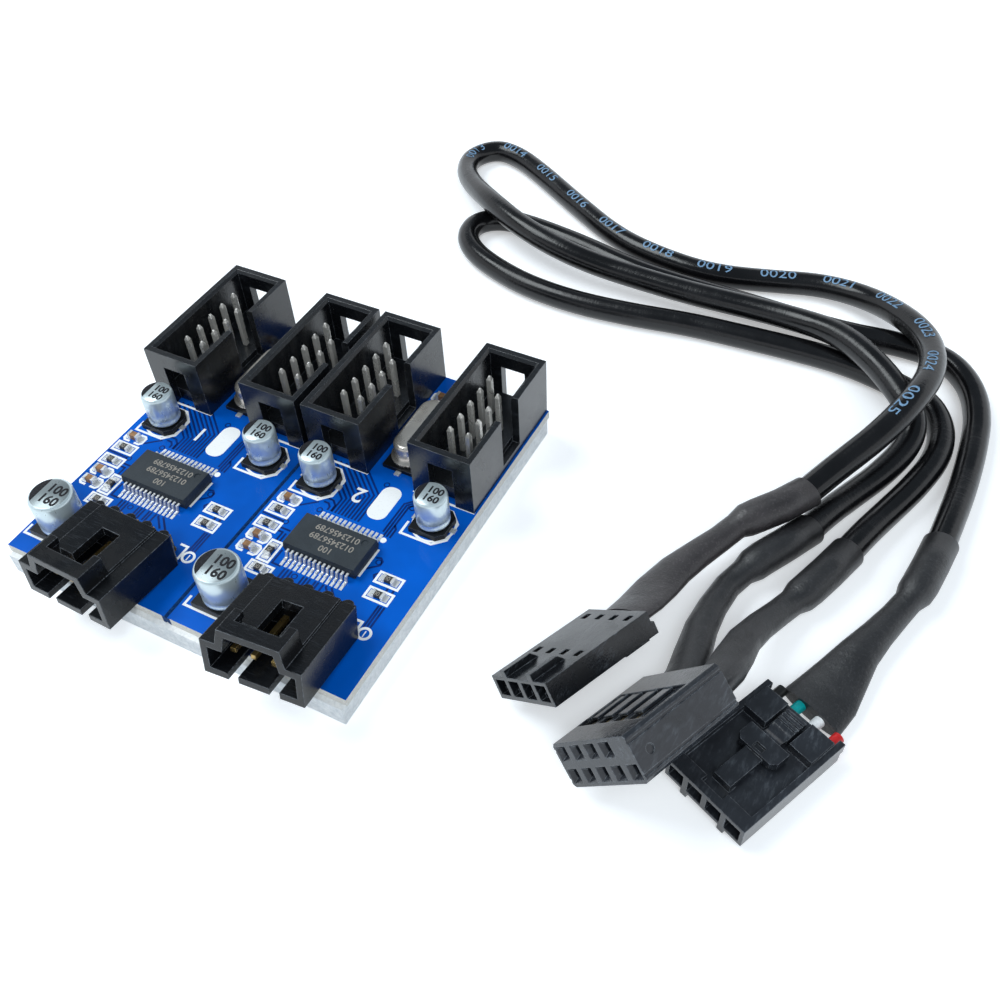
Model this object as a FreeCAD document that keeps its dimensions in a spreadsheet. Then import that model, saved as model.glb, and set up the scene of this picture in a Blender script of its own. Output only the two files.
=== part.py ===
"""Internal USB header splitter: a two-circuit hub board on a foam pad, with its Y cable."""

import FreeCAD
import Part
import math
import os
import re
import Sketcher

Vector = FreeCAD.Vector

# Driving dimensions, in millimetres and degrees
SIZES = {
    # Circuit board panel and the adhesive foam under it
    "board_width": 49.5,
    "board_depth": 49.4,
    "board_thickness": 1.2,
    "circuit_pitch": 25.1,
    "score_width": 0.5,
    "score_depth": 0.3,
    "pin_hole_radius": 0.55,
    "tail_hole_radius": 0.65,
    "foam_width": 49.0,
    "foam_depth": 50.0,
    "foam_thickness": 3.0,
    "foam_shift": -0.4,
    # Box headers along the back edge
    "header_length": 20.2,
    "header_width": 8.6,
    "header_height": 8.7,
    "header_side_wall": 1.05,
    "header_end_wall": 1.15,
    "header_floor": 1.9,
    "header_rim_chamfer": 0.35,
    "header_first_x": -7.88,
    "header_second_x": 7.63,
    "header_back_inset": 0.1,
    "key_width": 4.5,
    "key_sill": 1.0,
    "end_gap_width": 3.4,
    "end_gap_height": 6.4,
    # Square pins on the standard pitch
    "pin_pitch": 2.54,
    "pin_side": 0.64,
    "pin_tip_height": 8.1,
    "pin_point_length": 0.5,
    "pin_point_angle": 22.0,
    # Latching hub plug, which the board's input shroud takes
    "plug_width": 10.4,
    "plug_length": 14.8,
    "plug_height": 2.8,
    "plug_rail_width": 0.7,
    "plug_rail_tail": 0.4,
    "plug_recess_depth": 0.75,
    "plug_front_bar": 1.8,
    "plug_cell_width": 1.9,
    "plug_cell_height": 1.45,
    "plug_cell_sill": 0.4,
    "plug_mouth_height": 1.9,
    "plug_mouth_depth": 0.8,
    "plug_window_length": 1.1,
    "plug_window_width": 0.9,
    "plug_front_window": 5.8,
    "plug_back_window": 13.2,
    "plug_rib_width": 0.8,
    "plug_rib_height": 0.8,
    "plug_rib_length": 4.6,
    "plug_rib_slope": 0.8,
    "latch_width": 2.2,
    "latch_lift": 0.45,
    "latch_thickness": 0.65,
    "latch_root": 2.4,
    "latch_post": 1.0,
    "pit_start": 1.0,
    "pit_margin": 0.3,
    "latch_end": 13.8,
    "latch_head_width": 5.1,
    "latch_head_start": 7.1,
    "latch_head_length": 2.4,
    "latch_head_height": 0.35,
    "latch_head_cut": 0.6,
    "latch_slot_width": 1.2,
    "latch_slot_length": 0.7,
    "thumb_width": 2.4,
    "thumb_start": 10.8,
    "dip_gap": 1.2,
    "dip_radius": 1.5,
    "dip_depth": 0.2,
    "ridge_height": 0.25,
    "ridge_width": 0.35,
    "ridge_pitch": 0.6,
    "wing_start": 10.6,
    "wing_end": 14.2,
    "wing_inner_gap": 0.4,
    "wing_height": 1.2,
    # Input shroud at the front edge
    "input_wall": 0.8,
    "input_floor": 0.9,
    "input_roof": 0.9,
    "input_length": 11.3,
    "input_back_wall": 2.5,
    "input_side_clearance": 0.2,
    "input_top_clearance": 0.15,
    "bridge_width": 7.6,
    "bridge_rise": 2.3,
    "bridge_flare": 0.5,
    "bridge_bar": 1.9,
    "bridge_arm": 3.6,
    "bridge_step": 2.0,
    "window_wide": 5.6,
    "window_end": 8.4,
    "slot_clearance": 0.25,
    "slot_length": 6.0,
    "input_bump_radius": 0.75,
    "input_bump_drop": 0.25,
    "input_tail": 1.5,
    "input_tail_trim": 0.3,
    "input_pin_reach": 6.6,
    "input_x": 2.85,
    "input_inset": 7.6,
    "input_left_yaw": -1.6,
    "input_left_tilt": 4.6,
    "input_right_yaw": 4.5,
    "input_right_tilt": 11.0,
    # Hub chip
    "chip_length": 10.2,
    "chip_width": 5.3,
    "chip_height": 1.7,
    "chip_standoff": 0.12,
    "chip_seam": 0.85,
    "chip_draft": 7.0,
    "chip_x": -0.75,
    "chip_y": -8.0,
    "dimple_radius": 0.45,
    "dimple_inset": 1.1,
    "dimple_depth": 0.12,
    "lead_pitch": 0.65,
    "lead_width": 0.3,
    "lead_thickness": 0.18,
    "lead_reach": 1.35,
    "lead_shoulder": 0.4,
    "lead_foot": 0.75,
    # Aluminium can capacitors
    "bulk_diameter": 5.5,
    "bulk_height": 5.9,
    "bulk_base": 5.9,
    "bulk_x": -7.75,
    "bulk_inset": 5.5,
    "port_diameter": 4.2,
    "port_height": 5.6,
    "port_base": 4.6,
    "port_first_x": -8.2,
    "port_second_x": 8.35,
    "port_y": 0.8,
    "can_base_thickness": 0.8,
    "can_base_corner": 0.9,
    "can_seat": 0.3,
    "can_crimp_depth": 0.25,
    "can_crimp_height": 0.9,
    "can_rim_radius": 0.45,
    "tab_width": 0.75,
    "tab_thickness": 0.2,
    "tab_overhang": 0.7,
    # Crystal between the headers
    "crystal_length": 10.2,
    "crystal_width": 3.8,
    "crystal_height": 3.4,
    "crystal_flange": 0.45,
    "crystal_flange_height": 0.4,
    "crystal_rim_radius": 0.6,
    "crystal_base_length": 12.0,
    "crystal_base_width": 4.8,
    "crystal_base_height": 0.6,
    "crystal_x": -0.1,
    "crystal_y": 12.4,
    # Chip resistors and ceramic capacitors
    "chip_part_length": 1.6,
    "chip_part_width": 0.8,
    "resistor_height": 0.45,
    "ceramic_height": 0.8,
    "end_cap_length": 0.35,
    "end_cap_skin": 0.04,
    # Host plug for a mainboard header
    "host_width": 12.5,
    "host_length": 13.8,
    "host_height": 5.0,
    "host_chamfer": 0.35,
    "host_hole_side": 0.95,
    "host_mouth_side": 1.7,
    "host_mouth_depth": 0.45,
    "host_front_wall": 1.2,
    "host_cell_side": 1.7,
    "host_recess_start": 3.4,
    "host_recess_length": 6.4,
    "host_recess_depth": 0.4,
    "host_recess_margin": 0.35,
    "host_window_length": 1.5,
    "host_window_width": 1.5,
    "host_tongue_width": 1.35,
    "host_tongue_height": 0.3,
    "host_groove_width": 0.3,
    "host_groove_inset": 0.8,
    "host_groove_depth": 0.12,
    "host_dimple_inset": 2.0,
    "host_dimple_radius": 0.5,
    "host_dimple_depth": 0.15,
    # Crimped contacts inside the plugs
    "contact_width": 1.3,
    "contact_height": 1.0,
    "contact_wall": 0.2,
    "contact_length": 9.0,
    "contact_front": 2.6,
    # Cable, heat-shrink boots and wires
    "jacket_diameter": 3.5,
    "sleeve_diameter": 4.2,
    "neck_diameter": 3.1,
    "boot_flat_width": 7.6,
    "boot_flat_thickness": 2.2,
    "host_boot_width": 5.4,
    "host_boot_thickness": 3.6,
    "wire_diameter": 1.3,
    "wire_insertion": 1.2,
    "wire_gap_1": 0.4,
    "wire_gap_2": 1.6,
}

# Chip parts of one circuit: x, y from the circuit's middle and the turn of the long axis
RESISTORS = [(-10.2, -5.5, 0), (-10.2, -8.0, 0), (-7.4, -11.4, 90), (-7.0, -14.2, 0), (7.95, -9.0, 0),
             (8.0, -11.4, 0), (1.6, 20.6, 0)]
CERAMICS = [(-10.15, -3.45, 0), (-10.1, -10.05, 0), (-10.1, -12.05, 0), (-1.8, 20.6, 0)]

# Poses of the plugs on the cable: place of the mating face's lower middle, then yaw, pitch and roll
HUB_PLUG_1_POSE = ((40.96, -15.97, 7.3), (164.4, 40.9, -171.7))
HUB_PLUG_2_POSE = ((62.55, -17.8, 1.0), (-23.2, 0.0, -2.4))
HOST_PLUG_POSE = ((54.4, -22.55, 7.1), (-7.8, -50.4, -15.4))

# Middle lines of the four boots, between the cable's end and the plug
BOOT_PATHS = {
    "heat_shrink_hub_1": [(57.6, 20.8, 5.2), (55.5, 18.5, 4.8), (54.3, 17.0, 4.6), (52.8, 14.0, 4.2),
                          (51.0, 10.3, 4.0), (49.4, 6.6, 3.9)],
    "heat_shrink_host_1": [(59.4, 17.3, 2.4), (57.6, 14.0, 2.4), (56.7, 12.2, 2.2), (55.4, 8.6, 2.1),
                           (55.0, 4.4, 2.4), (55.1, 0.2, 3.0)],
    "heat_shrink_host_2": [(65.2, 15.6, 2.4), (64.0, 12.3, 2.4), (63.2, 10.4, 2.4), (61.6, 5.9, 3.4),
                           (60.2, 1.0, 5.0)],
    "heat_shrink_hub_2": [(75.6, 21.3, 2.4), (75.1, 17.6, 2.4), (74.5, 15.4, 2.2), (72.9, 10.5, 2.0),
                          (71.6, 6.6, 2.0)],
}

# Stations along a boot: share of its length, share of the sleeve's size kept and share of the mouth's
BOOT_STATIONS = [(0.0, 1.0, 0.0), (0.13, 1.0, 0.0), (0.24, 1.0, 0.0), (0.29, 0.9, 0.0), (0.34, 0.1, 0.0),
                 (0.43, 0.0, 0.04), (0.55, 0.0, 0.14), (0.67, 0.0, 0.32), (0.79, 0.0, 0.6), (0.9, 0.0, 0.88),
                 (1.0, 0.0, 1.0)]

# Routes of the two cable legs, point by point on the resting surface
CABLE_ROUTES = {
    "cable_1": [(61.4, 21.0, 2.5), (62.4, 24.4, 2.2), (64.3, 29.1, 1.8), (66.9, 34.6, 2.0), (68.7, 39.8, 3.0),
                (68.1, 43.4, 4.5), (65.0, 46.2, 5.8), (60.6, 50.3, 6.1), (54.8, 54.2, 5.9), (48.0, 56.5, 4.4),
                (40.1, 56.8, 4.0), (32.4, 56.4, 4.0), (24.0, 56.5, 4.1), (16.5, 56.5, 4.5), (9.6, 56.8, 5.6),
                (2.3, 59.1, 6.1), (-4.2, 62.9, 6.0), (-11.1, 69.1, 3.7), (-15.8, 74.6, 2.2), (-17.3, 79.6, 1.8),
                (-14.3, 83.8, 1.8), (-9.4, 83.0, 1.8), (-3.2, 79.5, 1.8), (6.0, 73.6, 1.8), (15.8, 67.7, 1.8),
                (24.5, 65.4, 1.8), (33.0, 64.7, 1.8), (41.2, 66.8, 1.8), (49.0, 68.9, 2.1), (56.6, 67.1, 3.2),
                (63.1, 60.9, 5.8), (66.8, 55.9, 6.8), (68.4, 48.3, 8.6), (67.5, 40.2, 9.9), (65.3, 34.3, 8.6),
                (62.9, 30.3, 7.0), (61.2, 27.2, 6.1), (59.8, 24.0, 5.6)],
    "cable_2": [(66.5, 19.5, 2.5), (67.4, 23.1, 2.2), (69.0, 28.1, 1.8), (71.0, 33.9, 1.8), (72.4, 39.9, 1.8),
                (72.0, 45.3, 1.8), (69.3, 49.9, 1.8), (64.1, 51.9, 1.8), (57.2, 53.4, 1.8), (49.6, 53.3, 1.8),
                (41.8, 52.8, 1.8), (33.9, 52.2, 1.8), (26.0, 50.8, 1.8), (17.1, 49.9, 1.8), (8.5, 50.5, 1.8),
                (1.7, 52.5, 1.8), (-3.4, 54.9, 1.8), (-6.6, 58.2, 1.8), (-6.9, 62.2, 1.8), (-3.4, 65.0, 1.8),
                (2.8, 64.9, 1.8), (12.0, 63.4, 1.8), (21.6, 60.9, 1.8), (30.9, 60.2, 1.8), (39.3, 60.1, 1.8),
                (47.7, 59.7, 1.8), (55.5, 59.5, 1.8), (62.1, 60.5, 1.8), (68.8, 60.2, 1.8), (73.3, 56.0, 1.8),
                (75.5, 50.1, 1.8), (76.2, 43.3, 1.8), (76.4, 36.1, 1.8), (76.2, 30.1, 2.2), (76.0, 25.5, 2.4)],
}

WIRE_COLOURS = ["black", "green", "white", "red"]
SIDES = {"left": -1, "right": 1}

doc = FreeCAD.newDocument("usb_header_splitter")
sheet = doc.addObject("Spreadsheet::Sheet", "sizes")
for row, (alias, value) in enumerate(SIZES.items(), start=1):
    sheet.set(f"A{row}", alias)
    sheet.set(f"B{row}", str(value))
    sheet.setAlias(f"B{row}", alias)
doc.recompute()

NAME = re.compile(r"[A-Za-z_]\w*")
sub_parts = []


def bound(text):
    """Expression in which every driving dimension is named through the sheet."""
    return NAME.sub(lambda word: "sizes." + word.group() if word.group() in SIZES else word.group(), str(text))


def value_of(text):
    """Present value of an expression of driving dimensions."""
    result = sheet.evalExpression(bound(text))
    return float(getattr(result, "Value", result))


def body_of(label, placement=None):
    """New body, listed as a sub-part."""
    body = doc.addObject("PartDesign::Body", label)
    body.Label = label
    if placement is not None:
        body.Placement = placement
    sub_parts.append(body)
    return body


def feature_of(label, shape, placement=None):
    """Sub-part whose shape is set directly."""
    feature = doc.addObject("Part::Feature", label)
    feature.Label = label
    feature.Shape = shape
    if placement is not None:
        feature.Placement = placement
    sub_parts.append(feature)
    return feature


def sketch_on(body, role, offset="0"):
    """Sketch on one of the body's own origin planes, shifted along the plane's normal."""
    sketch = body.newObject("Sketcher::SketchObject", "sketch")
    plane = next(item for item in body.Origin.OriginFeatures if item.Role == role)
    sketch.AttachmentSupport = [(plane, "")]
    sketch.MapMode = "FlatFace"
    sketch.setExpression("AttachmentOffset.Base.z", bound(offset))
    return sketch


def dimension(sketch, kind, ends, text):
    index = sketch.addConstraint(Sketcher.Constraint(kind, *ends, value_of(text)))
    sketch.setExpression(f"Constraints[{index}]", bound(text))


def draw_polygon(sketch, corners):
    """Closed outline whose corners are pairs of expressions."""
    first = sketch.GeometryCount
    spots = [Vector(value_of(x), value_of(y), 0) for x, y in corners]
    count = len(spots)
    for index in range(count):
        sketch.addGeometry(Part.LineSegment(spots[index], spots[(index + 1) % count]))
    for index in range(count):
        following = first + (index + 1) % count
        sketch.addConstraint(Sketcher.Constraint("Coincident", first + index, 2, following, 1))
    for index, (x, y) in enumerate(corners):
        dimension(sketch, "DistanceX", (-1, 1, first + index, 1), x)
        dimension(sketch, "DistanceY", (-1, 1, first + index, 1), y)


def draw_rectangle(sketch, left, low, width, height):
    right = f"{left} + {width}"
    high = f"{low} + {height}"
    draw_polygon(sketch, [(left, low), (right, low), (right, high), (left, high)])


def draw_square(sketch, x, y, side):
    draw_rectangle(sketch, f"{x} - {side}/2", f"{y} - {side}/2", side, side)


def draw_circle(sketch, x, y, radius):
    middle = Vector(value_of(x), value_of(y), 0)
    index = sketch.addGeometry(Part.Circle(middle, Vector(0, 0, 1), value_of(radius)))
    dimension(sketch, "Radius", (index,), radius)
    dimension(sketch, "DistanceX", (-1, 1, index, 3), x)
    dimension(sketch, "DistanceY", (-1, 1, index, 3), y)


def pad(body, sketch, length, reverse=False, taper=None, both_sides=False):
    feature = body.newObject("PartDesign::Pad", "pad")
    feature.Profile = sketch
    feature.setExpression("Length", bound(length))
    feature.Reversed = reverse
    if both_sides:
        feature.SideType = "Symmetric"
    if taper:
        feature.setExpression("TaperAngle", bound(taper))
    return feature


def pocket(body, sketch, length=None, reverse=False, taper=None, both_sides=False):
    feature = body.newObject("PartDesign::Pocket", "pocket")
    feature.Profile = sketch
    feature.Reversed = reverse
    if both_sides:
        feature.SideType = "Symmetric"
    if length is None:
        feature.Type = "ThroughAll"
    else:
        feature.setExpression("Length", bound(length))
    if taper:
        feature.setExpression("TaperAngle", bound(taper))
    return feature


def dress_edges(body, kind, size, chosen):
    """Fillet or chamfer on the edges of the body's present shape that a test picks."""
    doc.recompute()
    base = body.Tip
    names = [f"Edge{number}" for number, edge in enumerate(base.Shape.Edges, start=1) if chosen(edge.BoundBox)]
    feature = body.newObject("PartDesign::" + kind, kind.lower())
    feature.Base = (base, names)
    feature.setExpression("Radius" if kind == "Fillet" else "Size", bound(size))
    body.Tip = feature
    return feature


def close_to(first, second):
    return abs(first - second) < 1e-4


def at(x, y, z, yaw=0.0, pitch=0.0, roll=0.0):
    return FreeCAD.Placement(Vector(x, y, z), FreeCAD.Rotation(yaw, pitch, roll))


board_top = value_of("foam_thickness + board_thickness")


def on_board(body, side, x, y):
    """Stands a body on the board, at a place measured from the middle of one circuit."""
    body.setExpression(".Placement.Base.x", bound(f"{side} * circuit_pitch/2 + {x}"))
    body.setExpression(".Placement.Base.y", bound(y))
    body.setExpression(".Placement.Base.z", bound("foam_thickness + board_thickness"))


HEADER_Y = "board_depth/2 - header_back_inset - header_length/2"
BULK_Y = "(bulk_inset - board_depth/2)"
HEADERS = [(-1, "header_first_x"), (-1, "header_second_x"), (1, "header_first_x"), (1, "header_second_x")]
HEADER_PINS = [(column, row) for row in range(-2, 3) for column in (-1, 1) if (column, row) != (1, 2)]
INPUT_COLUMNS = [-1.5, -0.5, 0.5, 1.5]

INPUT_WIDTH = "(plug_width + 2*input_side_clearance + 2*input_wall)"
INPUT_SIDE_HEIGHT = "(input_floor + plug_height + 2*input_top_clearance + input_roof)"
INPUT_PIN_HEIGHT = "(input_floor + input_top_clearance + plug_cell_sill + plug_cell_height/2)"


def input_pose(name, side):
    """Pose of an input shroud as soldered: the foot of its back ribs stands on the board."""
    reach = value_of("input_length + input_bump_radius")
    turn = FreeCAD.Rotation(value_of(f"input_{name}_yaw"), 0, -value_of(f"input_{name}_tilt"))
    middle = value_of(f"{side} * circuit_pitch/2 + input_x")
    back = Vector(middle, value_of("input_inset - board_depth/2"), board_top)
    return FreeCAD.Placement(back - turn.multVec(Vector(0, reach, 0)), turn)


def tail_spots(name, side):
    """Places where the input's four pin tails cross the middle of the board."""
    pose = input_pose(name, side)
    tail_y = value_of("input_length + input_tail")
    spots = []
    for column in INPUT_COLUMNS:
        upper = pose.multVec(Vector(column * value_of("pin_pitch"), tail_y, 0))
        lower = pose.multVec(Vector(column * value_of("pin_pitch"), tail_y, -1))
        share = (upper.z - board_top + value_of("board_thickness/2")) / (upper.z - lower.z)
        spots.append(upper + (lower - upper) * share)
    return spots


def make_foam_pad():
    pad_box = doc.addObject("Part::Box", "foam_pad")
    pad_box.setExpression("Length", bound("foam_width"))
    pad_box.setExpression("Width", bound("foam_depth"))
    pad_box.setExpression("Height", bound("foam_thickness"))
    pad_box.setExpression(".Placement.Base.x", bound("-foam_width/2"))
    pad_box.setExpression(".Placement.Base.y", bound("foam_shift - foam_depth/2"))
    sub_parts.append(pad_box)


def make_circuit_board():
    board = body_of("circuit_board")
    board.setExpression(".Placement.Base.z", bound("foam_thickness"))
    outline = sketch_on(board, "XY_Plane")
    draw_rectangle(outline, "-board_width/2", "-board_depth/2", "board_width", "board_depth")
    pad(board, outline, "board_thickness")
    score = sketch_on(board, "XZ_Plane")
    top = "board_thickness"
    draw_polygon(score, [("-score_width/2", top), ("0", f"{top} - score_depth"), ("score_width/2", top)])
    draw_polygon(score, [("-score_width/2", "0"), ("score_width/2", "0"), ("0", "score_depth")])
    pocket(board, score, both_sides=True)
    holes = sketch_on(board, "XY_Plane", top)
    for side, header_x in HEADERS:
        for column, row in HEADER_PINS:
            x = f"{side}*circuit_pitch/2 + {header_x} + {column}*pin_pitch/2"
            draw_circle(holes, x, f"{HEADER_Y} + {row}*pin_pitch", "pin_hole_radius")
    for name, side in SIDES.items():
        for spot in tail_spots(name, side):
            draw_circle(holes, f"{spot.x:.4f}", f"{spot.y:.4f}", "tail_hole_radius")
    pocket(board, holes)


def make_header_shroud(number, side, header_x):
    shroud = body_of(f"header_shroud_{number}")
    on_board(shroud, side, header_x, HEADER_Y)
    block = sketch_on(shroud, "XY_Plane")
    draw_rectangle(block, "-header_width/2", "-header_length/2", "header_width", "header_length")
    pad(shroud, block, "header_height")
    cavity = sketch_on(shroud, "XY_Plane", "header_height")
    inner_width = "(header_width - 2*header_side_wall)"
    inner_length = "(header_length - 2*header_end_wall)"
    draw_rectangle(cavity, f"-{inner_width}/2", f"-{inner_length}/2", inner_width, inner_length)
    pocket(shroud, cavity, "header_height - header_floor")
    half_width = value_of(f"{inner_width}/2")
    half_length = value_of(f"{inner_length}/2")
    height = value_of("header_height")

    def inner_rim(box):
        inside = max(abs(box.XMin), abs(box.XMax)) < half_width + 1e-4
        inside = inside and max(abs(box.YMin), abs(box.YMax)) < half_length + 1e-4
        return inside and close_to(box.ZMin, height) and close_to(box.ZMax, height)

    dress_edges(shroud, "Chamfer", "header_rim_chamfer", inner_rim)
    key = sketch_on(shroud, "YZ_Plane", "header_width/2")
    draw_rectangle(key, "-key_width/2", "key_sill", "key_width", "(header_height - key_sill)")
    pocket(shroud, key, "header_side_wall")
    for reverse, offset in ((True, "-header_length/2"), (False, "header_length/2")):
        gap = sketch_on(shroud, "XZ_Plane", offset)
        draw_rectangle(gap, "-end_gap_width/2", "0", "end_gap_width", "end_gap_height")
        pocket(shroud, gap, "header_end_wall", reverse=reverse)
    holes = sketch_on(shroud, "XY_Plane", "header_floor")
    for column, row in HEADER_PINS:
        draw_square(holes, f"{column}*pin_pitch/2", f"{row}*pin_pitch", "pin_side")
    pocket(shroud, holes)


def make_header_pins(number, side, header_x):
    pins = body_of(f"header_pins_{number}")
    on_board(pins, side, header_x, HEADER_Y)
    for low, length, taper in (("-board_thickness", "board_thickness + pin_tip_height - pin_point_length", None),
                               ("pin_tip_height - pin_point_length", "pin_point_length", "-pin_point_angle")):
        squares = sketch_on(pins, "XY_Plane", low)
        for column, row in HEADER_PINS:
            draw_square(squares, f"{column}*pin_pitch/2", f"{row}*pin_pitch", "pin_side")
        pad(pins, squares, length, taper=taper)


def step_profile(width, side_top, bridge_half, bridge_top, low):
    """Outline of the input shroud's section: two shoulders with a raised middle that flares at its foot."""
    foot = f"({bridge_half} + bridge_flare)"
    return [(f"-{width}/2", low), (f"{width}/2", low), (f"{width}/2", side_top), (foot, side_top),
            (bridge_half, bridge_top), (f"-{bridge_half}", bridge_top), (f"-{foot}", side_top),
            (f"-{width}/2", side_top)]


def make_input_shroud(name, side):
    shroud = body_of(f"input_shroud_{name}", input_pose(name, side))
    bridge_top = f"({INPUT_SIDE_HEIGHT} + bridge_rise)"
    outer = sketch_on(shroud, "XZ_Plane")
    draw_polygon(outer, step_profile(INPUT_WIDTH, INPUT_SIDE_HEIGHT, "bridge_width/2", bridge_top, "0"))
    pad(shroud, outer, "input_length", reverse=True)
    inner_width = f"({INPUT_WIDTH} - 2*input_wall)"
    inner_top = f"({INPUT_SIDE_HEIGHT} - input_roof)"
    cavity = sketch_on(shroud, "XZ_Plane")
    draw_rectangle(cavity, f"-{inner_width}/2", "input_floor", inner_width, f"({inner_top} - input_floor)")
    pocket(shroud, cavity, "input_length - input_back_wall")
    latch_room = sketch_on(shroud, "XZ_Plane")
    draw_polygon(latch_room, step_profile(inner_width, inner_top, "(bridge_width/2 - input_wall)",
                                          f"({bridge_top} - input_roof)", "input_floor"))
    pocket(shroud, latch_room, "bridge_arm")
    step = sketch_on(shroud, "XY_Plane", bridge_top)
    draw_rectangle(step, f"-{INPUT_WIDTH}/2", "bridge_arm", INPUT_WIDTH, "(input_length - bridge_arm)")
    pocket(shroud, step, "bridge_step")
    window = sketch_on(shroud, "XY_Plane", bridge_top)
    narrow = "(latch_width/2 + slot_clearance)"
    draw_polygon(window, [("-window_wide/2", "bridge_bar"), ("window_wide/2", "bridge_bar"),
                          ("window_wide/2", "bridge_arm"), (narrow, "bridge_arm"),
                          (narrow, "window_end"), (f"-{narrow}", "window_end"),
                          (f"-{narrow}", "bridge_arm"), ("-window_wide/2", "bridge_arm")])
    pocket(shroud, window, "input_roof + bridge_rise")
    slots = sketch_on(shroud, "XY_Plane")
    slot_width = "(plug_rib_width + 2*slot_clearance)"
    for column in (-1, 1):
        draw_rectangle(slots, f"{column}*pin_pitch - {slot_width}/2", "0", slot_width, "slot_length")
    pocket(shroud, slots, "input_floor", reverse=True)
    for columns, top in (((-2, 2), INPUT_SIDE_HEIGHT), ((-1, 0, 1), f"({bridge_top} - bridge_step)")):
        bumps = sketch_on(shroud, "XY_Plane")
        for column in columns:
            draw_circle(bumps, f"{column}*pin_pitch", "input_length", "input_bump_radius")
        pad(shroud, bumps, f"{top} - input_bump_drop")
    holes = sketch_on(shroud, "XZ_Plane")
    for column in INPUT_COLUMNS:
        draw_square(holes, f"{column}*pin_pitch", INPUT_PIN_HEIGHT, "pin_side")
    pocket(shroud, holes, both_sides=True)


def make_input_pins(name, side):
    pins = body_of(f"input_pins_{name}", input_pose(name, side))
    half = "pin_side/2"
    tail = "(input_length + input_tail)"
    front = f"({tail} - input_tail - input_back_wall - input_pin_reach)"
    high = f"({INPUT_PIN_HEIGHT} + {half})"
    low = f"({INPUT_PIN_HEIGHT} - {half})"
    foot = "(input_tail_trim - board_thickness)"
    for column in INPUT_COLUMNS:
        elbow = sketch_on(pins, "YZ_Plane", f"{column}*pin_pitch")
        draw_polygon(elbow, [(front, low), (f"{tail} - {half}", low), (f"{tail} - {half}", foot),
                             (f"{tail} + {half}", foot), (f"{tail} + {half}", high), (front, high)])
        pad(pins, elbow, "pin_side", both_sides=True)


def make_hub_chip(name, side):
    chip = body_of(f"hub_chip_{name}")
    on_board(chip, side, "chip_x", "chip_y")
    for reverse, length in ((False, "chip_height - chip_seam"), (True, "chip_seam - chip_standoff")):
        seam = sketch_on(chip, "XY_Plane", "chip_seam")
        draw_rectangle(seam, "-chip_length/2", "-chip_width/2", "chip_length", "chip_width")
        pad(chip, seam, length, reverse=reverse, taper="-chip_draft")
    dimple = sketch_on(chip, "XY_Plane", "chip_height")
    draw_circle(dimple, "chip_length/2 - dimple_inset", "chip_width/2 - dimple_inset", "dimple_radius")
    pocket(chip, dimple, "dimple_depth")


def make_hub_chip_leads(name, side):
    leads = body_of(f"hub_chip_leads_{name}")
    on_board(leads, side, "chip_x", "chip_y")
    for end in (-1, 1):
        for index in range(14):
            edge = f"{end}*chip_width/2"
            shoulder = f"{end}*(chip_width/2 + lead_shoulder)"
            knee = f"{end}*(chip_width/2 + lead_shoulder + lead_thickness)"
            heel = f"{end}*(chip_width/2 + lead_reach - lead_foot)"
            toe = f"{end}*(chip_width/2 + lead_reach)"
            top = "chip_seam + lead_thickness/2"
            under = "chip_seam - lead_thickness/2"
            gull = sketch_on(leads, "YZ_Plane", f"{index - 6.5}*lead_pitch")
            draw_polygon(gull, [(edge, top), (knee, top), (f"{heel} + {end}*lead_thickness", "lead_thickness"),
                                (toe, "lead_thickness"), (toe, "0"), (heel, "0"), (shoulder, under), (edge, under)])
            pad(leads, gull, "lead_width", both_sides=True)


def make_can(label, side, x, y, diameter, height):
    """Aluminium can: a turned profile with a crimp near the foot and a rounded rim."""
    can = body_of(label)
    on_board(can, side, x, y)
    radius = f"({diameter}/2)"
    foot = "can_base_thickness"
    crimp = f"({foot} + can_crimp_height)"
    waist = f"({radius} - can_crimp_depth)"
    profile = sketch_on(can, "XZ_Plane")
    draw_polygon(profile, [("0", foot), (waist, foot), (radius, f"{foot} + can_seat"),
                           (radius, f"{crimp} - can_seat"), (waist, crimp), (radius, f"{crimp} + can_seat"),
                           (radius, f"{height} - can_rim_radius"),
                           (f"{radius} - can_rim_radius*0.3", f"{height} - can_rim_radius*0.3"),
                           (f"{radius} - can_rim_radius", height), ("0", height)])
    turned = can.newObject("PartDesign::Revolution", "turned")
    turned.Profile = profile
    turned.ReferenceAxis = (profile, ["V_Axis"])
    turned.Angle = 360


def make_can_base(label, side, x, y, base):
    """Moulded seat with two cut corners on the negative side."""
    seat = body_of(label)
    on_board(seat, side, x, y)
    half = f"({base}/2)"
    cut = f"({base}/2 - can_base_corner)"
    outline = sketch_on(seat, "XY_Plane")
    draw_polygon(outline, [(f"-{half}", f"-{half}"), (cut, f"-{half}"), (half, f"-{cut}"), (half, cut),
                           (cut, half), (f"-{half}", half)])
    pad(seat, outline, "can_base_thickness")
    grooves = sketch_on(seat, "XY_Plane")
    draw_rectangle(grooves, f"-{half}", "-tab_width/2", base, "tab_width")
    pocket(seat, grooves, "tab_thickness", reverse=True)


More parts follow.
